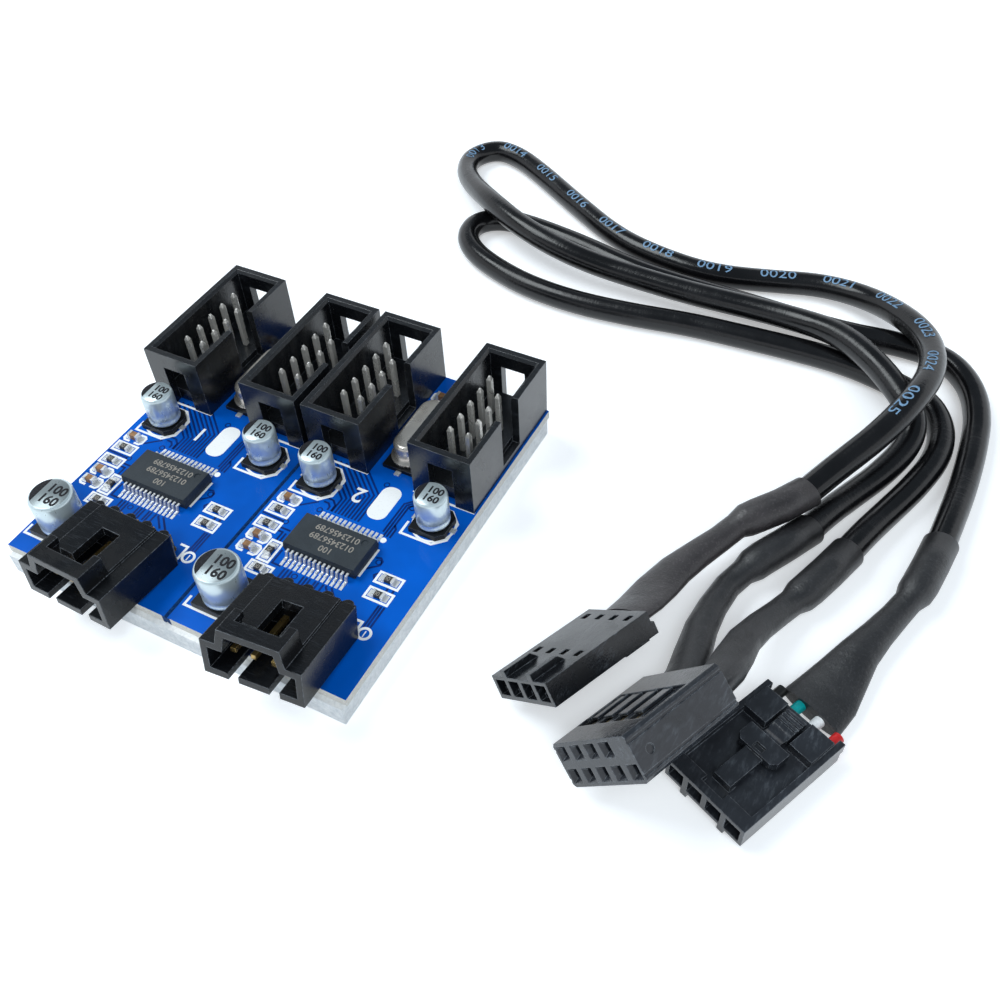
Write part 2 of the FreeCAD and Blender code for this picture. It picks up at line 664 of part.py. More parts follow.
def make_capacitor_tabs(name, side):
    """Solder tabs under the cans and the crystal, flat on the board."""
    tabs = body_of(f"capacitor_tabs_{name}")
    on_board(tabs, side, "0", "0")
    outline = sketch_on(tabs, "XY_Plane")
    cans = [("bulk_x", BULK_Y, "bulk_base"), ("port_first_x", "port_y", "port_base"),
            ("port_second_x", "port_y", "port_base")]
    for x, y, base in cans:
        for end in (-1, 1):
            middle = f"{x} + {end}*({base}/2 - {base}/8 + tab_overhang/2)"
            length = f"({base}/4 + tab_overhang)"
            draw_rectangle(outline, f"{middle} - {length}/2", f"{y} - tab_width/2", length, "tab_width")
    for end in (-1, 1):
        middle = f"crystal_y + {end}*(crystal_base_length/2 - crystal_base_length/8 + tab_overhang/2)"
        length = "(crystal_base_length/4 + tab_overhang)"
        draw_rectangle(outline, "crystal_x - tab_width/2", f"{middle} - {length}/2", "tab_width", length)
    pad(tabs, outline, "tab_thickness")


def draw_obround(sketch, width, length):
    """Slot outline, with its long axis along the second sketch axis."""
    half = value_of(f"{width}/2")
    run = value_of(f"({length} - {width})/2")
    sketch.addGeometry(Part.LineSegment(Vector(half, -run, 0), Vector(half, run, 0)))
    sketch.addGeometry(Part.ArcOfCircle(Part.Circle(Vector(0, run, 0), Vector(0, 0, 1), half), 0, math.pi))
    sketch.addGeometry(Part.LineSegment(Vector(-half, run, 0), Vector(-half, -run, 0)))
    lower = Part.Circle(Vector(0, -run, 0), Vector(0, 0, 1), half)
    sketch.addGeometry(Part.ArcOfCircle(lower, math.pi, 2 * math.pi))
    for first, first_end, second, second_end in ((0, 2, 1, 1), (1, 2, 2, 1), (2, 2, 3, 1), (3, 2, 0, 1)):
        sketch.addConstraint(Sketcher.Constraint("Tangent", first, first_end, second, second_end))
    dimension(sketch, "DistanceX", (-1, 1, 1, 3), "0")
    dimension(sketch, "DistanceY", (-1, 1, 1, 3), f"({length} - {width})/2")
    dimension(sketch, "DistanceX", (-1, 1, 3, 3), "0")
    dimension(sketch, "DistanceY", (-1, 1, 3, 3), f"-({length} - {width})/2")
    dimension(sketch, "Radius", (1,), f"{width}/2")


def make_crystal(name, side):
    can = body_of(f"crystal_can_{name}")
    on_board(can, side, "crystal_x", "crystal_y")
    flange = sketch_on(can, "XY_Plane", "crystal_base_height")
    draw_obround(flange, "(crystal_width + 2*crystal_flange)", "(crystal_length + 2*crystal_flange)")
    pad(can, flange, "crystal_flange_height")
    shell = sketch_on(can, "XY_Plane", "crystal_base_height")
    draw_obround(shell, "crystal_width", "crystal_length")
    pad(can, shell, "crystal_height - crystal_base_height")
    height = value_of("crystal_height")
    dress_edges(can, "Fillet", "crystal_rim_radius",
                lambda box: close_to(box.ZMin, height) and close_to(box.ZMax, height))
    base = body_of(f"crystal_base_{name}")
    on_board(base, side, "crystal_x", "crystal_y")
    plate = sketch_on(base, "XY_Plane")
    draw_rectangle(plate, "-crystal_base_width/2", "-crystal_base_length/2", "crystal_base_width",
                   "crystal_base_length")
    pad(base, plate, "crystal_base_height")
    groove = sketch_on(base, "XY_Plane")
    draw_rectangle(groove, "-tab_width/2", "-crystal_base_length/2", "tab_width", "crystal_base_length")
    pocket(base, groove, "tab_thickness", reverse=True)


def chip_part_boxes(spots, height):
    """Ceramic blocks of one circuit's chip parts and the metal caps round their ends."""
    length = value_of("chip_part_length")
    width = value_of("chip_part_width")
    cap = value_of("end_cap_length")
    skin = value_of("end_cap_skin")
    blocks = []
    caps = []
    for x, y, turn in spots:
        pose = at(x, y, 0, turn)
        block = Part.makeBox(length - 2 * skin, width, height, Vector(skin - length / 2, -width / 2, skin))
        blocks.append(block.transformGeometry(pose.toMatrix()))
        for end in (-1, 1):
            outer = Part.makeBox(cap, width + 2 * skin, height + 2 * skin,
                                 Vector(end * (length - cap) / 2 - cap / 2, -width / 2 - skin, 0))
            caps.append(outer.cut(block).transformGeometry(pose.toMatrix()))
    return blocks, caps


def make_chip_parts(name, side):
    pose = at(value_of(f"{side}*circuit_pitch/2"), 0, board_top)
    resistors, resistor_caps = chip_part_boxes(RESISTORS, value_of("resistor_height"))
    ceramics, ceramic_caps = chip_part_boxes(CERAMICS, value_of("ceramic_height"))
    feature_of(f"resistor_blocks_{name}", Part.makeCompound(resistors), pose)
    feature_of(f"ceramic_blocks_{name}", Part.makeCompound(ceramics), pose)
    feature_of(f"chip_end_caps_{name}", Part.makeCompound(resistor_caps + ceramic_caps), pose)


def make_hub_plug(number, pose):
    """Latching housing: cells open at the mating face, rails, sprung latch and wings on the upper side."""
    plug = body_of(f"hub_plug_housing_{number}", at(*pose[0], *pose[1]))
    block = sketch_on(plug, "XY_Plane")
    draw_rectangle(block, "-plug_width/2", "0", "plug_width", "plug_length")
    pad(plug, block, "plug_height")
    floor = "(plug_height - plug_recess_depth)"
    recess = sketch_on(plug, "XY_Plane", "plug_height")
    inner_width = "(plug_width - 2*plug_rail_width)"
    draw_rectangle(recess, f"-{inner_width}/2", "plug_front_bar", inner_width, "(plug_length - plug_front_bar)")
    pocket(plug, recess, "plug_recess_depth")
    tails = sketch_on(plug, "XY_Plane", "plug_height/2")
    for column in (-1, 1):
        middle = f"{column}*(plug_width - plug_rail_width)/2"
        draw_rectangle(tails, f"{middle} - plug_rail_width/2", "plug_length - plug_rail_tail", "plug_rail_width",
                       "(2*plug_rail_tail)")
    pad(plug, tails, "plug_height/2")
    for sill, height, depth in (("plug_cell_sill", "plug_cell_height", None),
                                ("plug_cell_sill", "plug_mouth_height", "plug_mouth_depth")):
        cells = sketch_on(plug, "XZ_Plane")
        for column in INPUT_COLUMNS:
            draw_rectangle(cells, f"{column}*pin_pitch - plug_cell_width/2", sill, "plug_cell_width", height)
        pocket(plug, cells, depth, both_sides=depth is None)
    windows = sketch_on(plug, "XY_Plane")
    for column in INPUT_COLUMNS:
        for row in ("plug_front_window", "plug_back_window"):
            draw_rectangle(windows, f"{column}*pin_pitch - plug_window_width/2", f"{row} - plug_window_length/2",
                           "plug_window_width", "plug_window_length")
    pocket(plug, windows, "plug_cell_sill", reverse=True)
    for column in (-1, 1):
        rib = sketch_on(plug, "YZ_Plane", f"{column}*pin_pitch")
        draw_polygon(rib, [("0", "0"), ("0", "-plug_rib_height"),
                           ("plug_rib_length - plug_rib_slope", "-plug_rib_height"), ("plug_rib_length", "0")])
        pad(plug, rib, "plug_rib_width", both_sides=True)
    pit = sketch_on(plug, "XY_Plane", "plug_height")
    draw_rectangle(pit, "-latch_width/2 - pit_margin", "pit_start", "(latch_width + 2*pit_margin)",
                   "(latch_root - pit_start)")
    pocket(plug, pit, "plug_recess_depth")
    lever = sketch_on(plug, "YZ_Plane")
    crest = f"({floor} + latch_lift + latch_thickness)"
    belly = f"({floor} + latch_lift)"
    draw_polygon(lever, [("latch_root", floor), ("latch_root + latch_post", floor),
                         ("latch_root + latch_post", belly), ("latch_end", belly), ("latch_end", crest),
                         ("latch_root", crest)])
    pad(plug, lever, "latch_width", both_sides=True)
    head = sketch_on(plug, "XY_Plane", belly)
    head_end = "(latch_head_start + latch_head_length)"
    draw_polygon(head, [("-latch_head_width/2", "latch_head_start + latch_head_cut"),
                        ("latch_head_cut - latch_head_width/2", "latch_head_start"),
                        ("latch_head_width/2 - latch_head_cut", "latch_head_start"),
                        ("latch_head_width/2", "latch_head_start + latch_head_cut"),
                        ("latch_head_width/2", head_end), ("-latch_head_width/2", head_end)])
    pad(plug, head, "latch_thickness + latch_head_height")
    thumb = sketch_on(plug, "XY_Plane", belly)
    draw_rectangle(thumb, "-thumb_width/2", "thumb_start", "thumb_width", "(latch_end - thumb_start)")
    pad(plug, thumb, "latch_thickness")
    dip = sketch_on(plug, "YZ_Plane")
    draw_circle(dip, f"{head_end} + dip_gap", f"{crest} + dip_radius - dip_depth", "dip_radius")
    pocket(plug, dip, "thumb_width", both_sides=True)
    ridges = sketch_on(plug, "XY_Plane", f"{crest} - dip_depth")
    for index in range(3):
        low = f"latch_end - {index}*ridge_pitch - ridge_width - ridge_height"
        draw_rectangle(ridges, "-thumb_width/2", low, "thumb_width", "ridge_width")
    pad(plug, ridges, "dip_depth + ridge_height")
    slot = sketch_on(plug, "XY_Plane", f"{crest} + latch_head_height")
    draw_rectangle(slot, "-latch_slot_width/2", "latch_head_start + ridge_width", "latch_slot_width",
                   "latch_slot_length")
    pocket(plug, slot, "latch_head_height")
    wings = sketch_on(plug, "XY_Plane", floor)
    inner = "(thumb_width/2 + wing_inner_gap)"
    for column in (-1, 1):
        width = f"(plug_width/2 - plug_rail_width - {inner})"
        draw_rectangle(wings, f"{column}*({inner} + {width}/2) - {width}/2", "wing_start", width,
                       "(wing_end - wing_start)")
    pad(plug, wings, "wing_height")


def make_contacts(label, pose, spots, sill):
    """Crimped box contacts, one for each cell, open along their length."""
    width = value_of("contact_width")
    height = value_of("contact_height")
    wall = value_of("contact_wall")
    length = value_of("contact_length")
    front = value_of("contact_front")
    boxes = []
    for x, z in spots:
        outer = Part.makeBox(width, length, height, Vector(x - width / 2, front, z + sill))
        bore = Part.makeBox(width - 2 * wall, length, height - 2 * wall,
                            Vector(x - width / 2 + wall, front, z + sill + wall))
        boxes.append(outer.cut(bore))
    feature_of(label, Part.makeCompound(boxes), at(*pose[0], *pose[1]))


def host_cells():
    """Columns and rows of the host plug's cells; the key's place has none."""
    return [(column, row) for row in (0, 1) for column in range(-2, 3) if (column, row) != (2, 1)]


def host_row_height(row):
    return f"(host_height/2 + {row - 0.5}*pin_pitch)"


def make_host_plug(pose):
    plug = body_of("host_plug_housing", at(*pose[0], *pose[1]))
    block = sketch_on(plug, "XZ_Plane")
    draw_rectangle(block, "-host_width/2", "0", "host_width", "host_height")
    pad(plug, block, "host_length", reverse=True)
    length = value_of("host_length")
    dress_edges(plug, "Chamfer", "host_chamfer",
                lambda box: close_to(box.YMin, 0) and close_to(box.YMax, length))
    for top in (0, 1):
        recess = sketch_on(plug, "XY_Plane", f"{top}*host_height")
        inner = "(host_width - 2*host_chamfer - 2*host_recess_margin)"
        draw_rectangle(recess, f"-{inner}/2", "host_recess_start", inner, "host_recess_length")
        pocket(plug, recess, "host_recess_depth", reverse=top == 0)
    for side, depth in (("host_hole_side", None), ("host_cell_side", "host_length - host_front_wall")):
        cells = sketch_on(plug, "XZ_Plane", "0" if depth is None else "-host_length")
        for column, row in host_cells():
            draw_square(cells, f"{column}*pin_pitch", host_row_height(row), side)
        pocket(plug, cells, depth, both_sides=depth is None, reverse=depth is not None)
    mouths = sketch_on(plug, "XZ_Plane")
    for column, row in host_cells():
        draw_square(mouths, f"{column}*pin_pitch", host_row_height(row), "host_mouth_side")
    slope = "-atan((host_mouth_side - host_hole_side)/2/host_mouth_depth)"
    pocket(plug, mouths, "host_mouth_depth", taper=slope)
    for top in (0, 1):
        columns = [column for column, row in host_cells() if row == top]
        tongues = sketch_on(plug, "XY_Plane", f"{top}*(host_height - 2*host_recess_depth) + host_recess_depth")
        windows = sketch_on(plug, "XY_Plane", f"{top}*host_height")
        for column in columns:
            draw_rectangle(windows, f"{column}*pin_pitch - host_window_width/2", "host_recess_start",
                           "host_window_width", "host_window_length")
            draw_rectangle(tongues, f"{column}*pin_pitch - host_tongue_width/2",
                           "host_recess_start + host_window_length + host_recess_margin", "host_tongue_width",
                           "(host_recess_length - host_window_length - host_recess_margin)")
        pad(plug, tongues, "host_tongue_height", reverse=top == 0)
        pocket(plug, windows, "host_height/2 - pin_pitch/2", reverse=top == 0)
    for end in (-1, 1):
        grooves = sketch_on(plug, "YZ_Plane", f"{end}*host_width/2")
        for edge in (-1, 1):
            middle = f"(host_height/2 + {edge}*(host_height/2 - host_groove_inset))"
            draw_rectangle(grooves, "0", f"{middle} - host_groove_width/2", "host_length", "host_groove_width")
        pocket(plug, grooves, "host_groove_depth", reverse=end < 0)
        dimple = sketch_on(plug, "YZ_Plane", f"{end}*host_width/2")
        draw_circle(dimple, "host_dimple_inset", "host_height/2", "host_dimple_radius")
        pocket(plug, dimple, "host_dimple_depth", reverse=end < 0)


def ellipse_at(label, spot, direction, across, width, thickness):
    """Boot section: an ellipse square to the boot's line, its long axis near the given one."""
    section = doc.addObject("Part::Ellipse", label)
    direction = Vector(*direction).normalize()
    across = (across - direction * across.dot(direction)).normalize()
    turn = FreeCAD.Rotation(across, direction.cross(across), direction, "ZXY")
    section.Placement = FreeCAD.Placement(Vector(*spot), turn)
    section.setExpression("MajorRadius", bound(f"{width}/2"))
    section.setExpression("MinorRadius", bound(f"{thickness}/2"))
    return section


def make_boot(label, cable, last, plug_pose, rear, width, thickness):
    """Heat-shrink boot: a sleeve over the jacket's end, a neck, and a flat mouth at the plug."""
    route = CABLE_ROUTES[cable] if last else CABLE_ROUTES[cable][::-1]
    start = Vector(*route[-1])
    leaving = (start - Vector(*route[-2])).normalize()
    plug = at(*plug_pose[0], *plug_pose[1])
    across = plug.Rotation.multVec(Vector(1, 0, 0))
    arriving = plug.Rotation.multVec(Vector(0, -1, 0))
    mouth = plug.multVec(rear)
    line = Part.BSplineCurve()
    line.interpolate([start] + [Vector(*spot) for spot in BOOT_PATHS[label]] + [mouth],
                     InitialTangent=leaving, FinalTangent=arriving)
    line = line.toShape()
    level = leaving.cross(Vector(0, 0, 1)).normalize()
    if level.dot(across) < 0:
        level = level * -1
    sections = []
    for number, (along, sleeve_share, mouth_share) in enumerate(BOOT_STATIONS):
        place = line.getParameterByLength(line.Length * along)
        sleeve = f"neck_diameter + {sleeve_share}*(sleeve_diameter - neck_diameter)"
        sections.append(ellipse_at(f"{label}_section_{number}", line.valueAt(place), line.tangentAt(place),
                                   level * (1 - mouth_share) + across * mouth_share,
                                   f"({sleeve} + {mouth_share}*({width} - neck_diameter))",
                                   f"({sleeve} + {mouth_share}*({thickness} - neck_diameter))"))
    boot = doc.addObject("Part::Loft", label)
    boot.Sections = sections
    boot.Solid = True
    boot.Ruled = True
    sub_parts.append(boot)


def make_wires():
    """Wire ends between each hub plug's cells and its boot, one node for each colour."""
    radius = value_of("wire_diameter/2")
    start = value_of("plug_length - wire_insertion")
    height = value_of("plug_cell_sill + plug_cell_height/2")
    for colour, column in zip(WIRE_COLOURS, INPUT_COLUMNS):
        wires = []
        for (spot, angles), gap in ((HUB_PLUG_1_POSE, "wire_gap_1"), (HUB_PLUG_2_POSE, "wire_gap_2")):
            length = value_of(f"wire_insertion + {gap}")
            wire = Part.makeCylinder(radius, length, Vector(column * value_of("pin_pitch"), start, height),
                                     Vector(0, 1, 0))
            wires.append(wire.transformGeometry(at(*spot, *angles).toMatrix()))
        feature_of(f"wires_{colour}", Part.makeCompound(wires))


def make_cable(label, route):
    """Jacket swept along straight runs joined by tangent arcs."""
    points = [Vector(*spot) for spot in route]
    radius = value_of("jacket_diameter/2")
    edges = []
    radii = []
    start = points[0]
    for before, corner, after in zip(points, points[1:], points[2:]):
        entering = (corner - before).normalize()
        leaving = (after - corner).normalize()
        turn = entering.getAngle(leaving)
        setback = 0.45 * min((corner - before).Length, (after - corner).Length)
        bend = setback / math.tan(turn / 2)
        first = corner - entering * setback
        last = corner + leaving * setback
        inward = (leaving - entering).normalize()
        middle = corner + inward * (bend / math.cos(turn / 2) - bend)
        edges.append(Part.LineSegment(start, first).toShape())
        edges.append(Part.Arc(first, middle, last).toShape())
        radii.append(bend)
        start = last
    edges.append(Part.LineSegment(start, points[-1]).toShape())
    path = Part.Wire(edges)
    section = Part.Wire(Part.Circle(points[0], points[1] - points[0], radius).toShape())
    tube = path.makePipeShell([section], True, False)
    feature_of(label, tube)
    expected = math.pi * radius ** 2 * path.Length
    print(label, "length", round(path.Length, 1), "volume share", round(tube.Volume / expected, 4),
          "radii", [round(bend, 1) for bend in radii])


make_foam_pad()
make_circuit_board()
for number, (side, header_x) in enumerate(HEADERS, start=1):
    make_header_shroud(number, side, header_x)
    make_header_pins(number, side, header_x)
for name, side in SIDES.items():
    make_input_shroud(name, side)
    make_input_pins(name, side)
    make_hub_chip(name, side)
    make_hub_chip_leads(name, side)
    make_crystal(name, side)
    make_can(f"bulk_capacitor_can_{name}", side, "bulk_x", BULK_Y, "bulk_diameter", "bulk_height")
    make_can_base(f"bulk_capacitor_base_{name}", side, "bulk_x", BULK_Y, "bulk_base")
    make_capacitor_tabs(name, side)
    make_chip_parts(name, side)
for number, (side, port_x) in enumerate([(-1, "port_first_x"), (-1, "port_second_x"), (1, "port_first_x"),
                                         (1, "port_second_x")], start=1):
    make_can(f"port_capacitor_can_{number}", side, port_x, "port_y", "port_diameter", "port_height")
    make_can_base(f"port_capacitor_base_{number}", side, port_x, "port_y", "port_base")

hub_spots = [(column * value_of("pin_pitch"), 0) for column in INPUT_COLUMNS]
hub_sill = value_of("plug_cell_sill + (plug_cell_height - contact_height)/2")
for number, pose in ((1, HUB_PLUG_1_POSE), (2, HUB_PLUG_2_POSE)):
    make_hub_plug(number, pose)
    make_contacts(f"hub_plug_contacts_{number}", pose, hub_spots, hub_sill)
make_host_plug(HOST_PLUG_POSE)
host_spots = [(column * value_of("pin_pitch"), value_of(host_row_height(row))) for column, row in host_cells()]
make_contacts("host_plug_contacts", HOST_PLUG_POSE, host_spots, -value_of("contact_height/2"))

for number, cable, pose in ((1, "cable_1", HUB_PLUG_1_POSE), (2, "cable_2", HUB_PLUG_2_POSE)):
    hub_rear = Vector(0, value_of(f"plug_length + wire_gap_{number}"),
                      value_of("plug_cell_sill + plug_cell_height/2"))
    make_boot(f"heat_shrink_hub_{number}", cable, True, pose, hub_rear, "boot_flat_width",
              "boot_flat_thickness")
for number, cable, column in ((1, "cable_1", -1), (2, "cable_2", 1)):
    host_rear = Vector(column * value_of("host_width/4"), value_of("host_length"), value_of("host_height/2"))
    make_boot(f"heat_shrink_host_{number}", cable, False, HOST_PLUG_POSE, host_rear, "host_boot_width",
              "host_boot_thickness")
make_wires()
for label, route in CABLE_ROUTES.items():
    make_cable(label, route)

doc.recompute()
failed = [item.Label for item in doc.Objects if "Invalid" in item.State or "Error" in item.State]
failed += [item.Label for item in sub_parts if item.Shape.isNull() or not item.Shape.isValid()]
if failed:
    raise RuntimeError("these did not build: " + ", ".join(failed))
os.makedirs("parts", exist_ok=True)
for item in sub_parts:
    item.Shape.exportStep(f"parts/{item.Label}.step")
print(len(sub_parts), "sub-parts written")
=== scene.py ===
"""Dresses the header splitter: a blue board on foam tape, its connectors and the cable that feeds it."""

import bisect
import math

import bmesh
import bpy
from bpy.props import FloatProperty, FloatVectorProperty, PointerProperty
from bpy.types import Operator, Panel, PropertyGroup
from mathutils import Matrix, Vector


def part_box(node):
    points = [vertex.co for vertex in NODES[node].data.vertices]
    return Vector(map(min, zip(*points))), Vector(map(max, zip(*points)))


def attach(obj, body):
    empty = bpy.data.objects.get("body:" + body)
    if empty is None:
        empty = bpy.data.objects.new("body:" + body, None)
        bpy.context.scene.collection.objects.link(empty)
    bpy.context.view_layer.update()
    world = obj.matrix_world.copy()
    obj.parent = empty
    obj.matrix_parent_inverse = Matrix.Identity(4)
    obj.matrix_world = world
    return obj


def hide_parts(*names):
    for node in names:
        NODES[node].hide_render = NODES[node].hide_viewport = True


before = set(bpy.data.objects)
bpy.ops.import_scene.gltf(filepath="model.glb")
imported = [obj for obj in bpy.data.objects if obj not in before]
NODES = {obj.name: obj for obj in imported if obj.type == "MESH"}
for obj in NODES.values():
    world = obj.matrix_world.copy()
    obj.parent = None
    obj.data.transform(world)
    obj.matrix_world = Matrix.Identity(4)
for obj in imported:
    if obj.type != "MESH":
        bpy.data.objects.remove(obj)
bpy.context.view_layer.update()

bl_info = {
    "name": "Header Splitter Dressing",
    "version": (1, 0, 0),
    "blender": (4, 5, 0),
    "location": "View3D > Sidebar > Splitter",
    "description": "Finishes the packed header splitter and sets its stage",
    "category": "Object",
}

ROOT = "root"
MM = 0.001
UP = Vector((0, 0, 1))
SIDES = {"left": -1, "right": 1}
HEADER_NUMBERS = (1, 2, 3, 4)

# Places on the board, in millimetres from the middle of one circuit
HALF_PITCH = 12.55
BOARD_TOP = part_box("circuit_board")[1].z / MM
RESISTORS = [(-10.2, -5.5, 0), (-10.2, -8.0, 0), (-7.4, -11.4, 90), (-7.0, -14.2, 0), (7.95, -9.0, 0),
             (8.0, -11.4, 0), (1.6, 20.6, 0)]
CERAMICS = [(-10.15, -3.45, 0), (-10.1, -10.05, 0), (-10.1, -12.05, 0), (-1.8, 20.6, 0)]
PORT_CANS = [(-8.2, 0.8), (8.35, 0.8)]
CHIP = (-0.75, -8.0)
SCORE_HALF_WIDTH = 0.6

# Corners nearer than this, in millimetres, are joined, and round shapes have these numbers of steps.
# Places are sorted by height, then depth, then width, each weighed this many times the next
JOIN_WITHIN = 0.002
SORT_STEP = 1000
WALL_STEPS = 64
CAN_STEPS = 48
RING_STEPS = 32
DOT_STEPS = 24
VIA_STEPS = 20
CORNER_STEPS = 6
CABLE_STEPS = 6
LETTER_STEPS = 3

# White print: its thickness, its line, its turn in degrees and the shapes on one circuit
PRINT_LIFT = 0.02
PRINT_WIDTH = 0.32
PRINT_TURN = 180
CHIP_LINE_WIDTH = PRINT_WIDTH * 1.6
RESISTOR_FRAME = (3.15, 1.55)
CERAMIC_BRACKETS = (2.95, 1.5)
BRACKET_CUT = 0.2
BRACKET_GAP = 0.25
CAN_RING_RADIUS = 2.7
PIN_ONE_RADIUS = 0.4
CIRCLE_RADIUS = 0.74
CIRCLED_HEIGHT = 0.85
NUMBER_HEIGHT = 2.3
FIELD_SIZE = (2.7, 5.6)
FIELD_CORNER = 1.2
PRINT_RUNS = [
    [(-11.2, -0.4), (-11.2, -2.05), (-6.9, -2.05), (-5.55, -0.7), (-5.55, 0.25)],
    [(-5.55, 1.5), (-5.55, 2.1), (-7.05, 3.6), (-11.2, 3.6), (-11.2, 2.0)],
    [(5.25, -0.1), (5.25, -2.1), (9.55, -2.1), (10.95, -0.75), (10.95, 0.2)],
    [(10.95, 1.35), (10.95, 2.0), (9.4, 3.55), (5.25, 3.55), (5.25, 1.8)],
    [(-11.75, -20.9), (-11.75, -22.3), (-6.2, -22.3)],
    [(7.2, -15.3), (8.3, -15.3), (8.3, -17.4)],
    [(-11.9, 4.47), (-3.55, 4.47)],
    [(3.2, 4.47), (11.95, 4.47)],
]
CHIP_END_LINE = [(4.25, -5.5), (4.25, -10.0)]
PIN_ONE = (4.05, -4.05)
CIRCLED_ONE = (9.35, -16.55)
WRITE_ON_FIELD = (1.0, 1.1)
CIRCUIT_NUMBER = (-2.65, 0.95)

# Lines where the lacquer lies in the gaps between copper areas, a fan of them and rings round the vias
GAP_WIDTH = 0.27
GAP_RUNS = [
    [(-6.0, -1.2), (-5.0, -1.25), (-4.35, -1.85), (-4.35, -2.9)],
    [(-6.0, -1.9), (-5.3, -1.9), (-4.85, -2.35), (-4.85, -2.9)],
    [(-8.45, -3.75), (-6.55, -2.2)],
    [(3.3, -2.9), (3.3, 2.1), (5.6, 4.4)],
    [(3.7, -3.5), (3.7, 2.0), (6.1, 4.4)],
    [(4.1, -3.4), (4.1, 1.9), (6.6, 4.4)],
    [(4.55, -3.4), (4.55, -1.95), (4.1, -1.4)],
    *([(x, -12.8), (x, -14.4)] for x in (-4.2, -3.7, -3.2, -1.45, -1.0, -0.55, 0.2, 0.6, 1.3)),
    [(1.75, -12.8), (1.75, -13.0), (3.2, -14.5)], [(2.4, -12.8), (4.2, -14.6)],
    [(-6.15, -10.6), (-6.15, -12.75), (-4.9, -12.75)],
    [(-7.3, -13.0), (-7.3, -13.7)], [(-8.0, -13.0), (-8.0, -13.6)],
    [(-7.0, -7.75), (-8.65, -7.75)], [(-8.65, -8.3), (-7.75, -8.3), (-7.75, -9.7)],
    [(-7.25, -8.3), (-7.25, -9.7)],
    [(-12.0, -6.65), (-8.7, -6.8)],
    [(4.5, -8.6), (5.75, -7.5), (5.75, -6.9), (5.3, -6.5), (4.7, -6.7)],
    [(6.2, -8.55), (5.85, -9.0), (6.2, -9.5)],
    *([(x, -9.95), (x, -10.6)] for x in (8.4, 9.2)),
    [(8.75, -12.5), (8.75, -17.6)], *([(x, -12.5), (x, -15.6)] for x in (9.1, 9.5)),
]
FAN_COUNT = 9
FAN_START = (-4.2, -0.6)
FAN_STEP = (0.48, 0.32)
FAN_FOOT = -2.9
FAN_HEAD = 4.9
FAN_SLANT = 1.15
VIAS = [(-2.5, -13.3), (5.35, -7.15), (-0.35, 3.9), (-6.6, 1.0), (4.6, 1.9), (-5.7, -3.3), (-8.4, -6.75)]
VIA_RADIUS = 0.34
VIA_WIDTH = 0.16

# Tinned pads under the small parts and the chip's leads
PAD_HEIGHT = 0.06
PAD_SIZE = (0.8, 1.0, PAD_HEIGHT)
PAD_REACH = 0.9
LEAD_PAD_SIZE = (0.38, 1.4, PAD_HEIGHT)
LEAD_COUNT = 14
LEAD_PITCH = 0.65
LEAD_ROW = 3.95

# Plain figures on the parts, and a figure's height as a share of the letters' size
FIGURE_SHARE = 0.69
FIGURE_BOLDNESS = 0.015
CHIP_CODES = ("100", "0123456789", "0123456789")
CHIP_CODE_HEIGHT = 0.85
CHIP_CODE_STEP = 1.35
CHIP_CODE_SHIFT = 0.3
RESISTOR_CODE = "100"
RESISTOR_CODE_HEIGHT = 0.55

# Print on a can's top, as shares of the can's radius
CAN_FIGURES = ("100", "160")
CAN_FIGURE_HEIGHT = 0.46
CAN_FIGURE_PLACE = (0.2, 0.3)
CAN_FIGURE_STEP = 0.62
CAN_FIGURE_BOLDNESS = 0.05
CAN_MARK_RADIUS = 0.88
CAN_MARK_CUT = 0.5

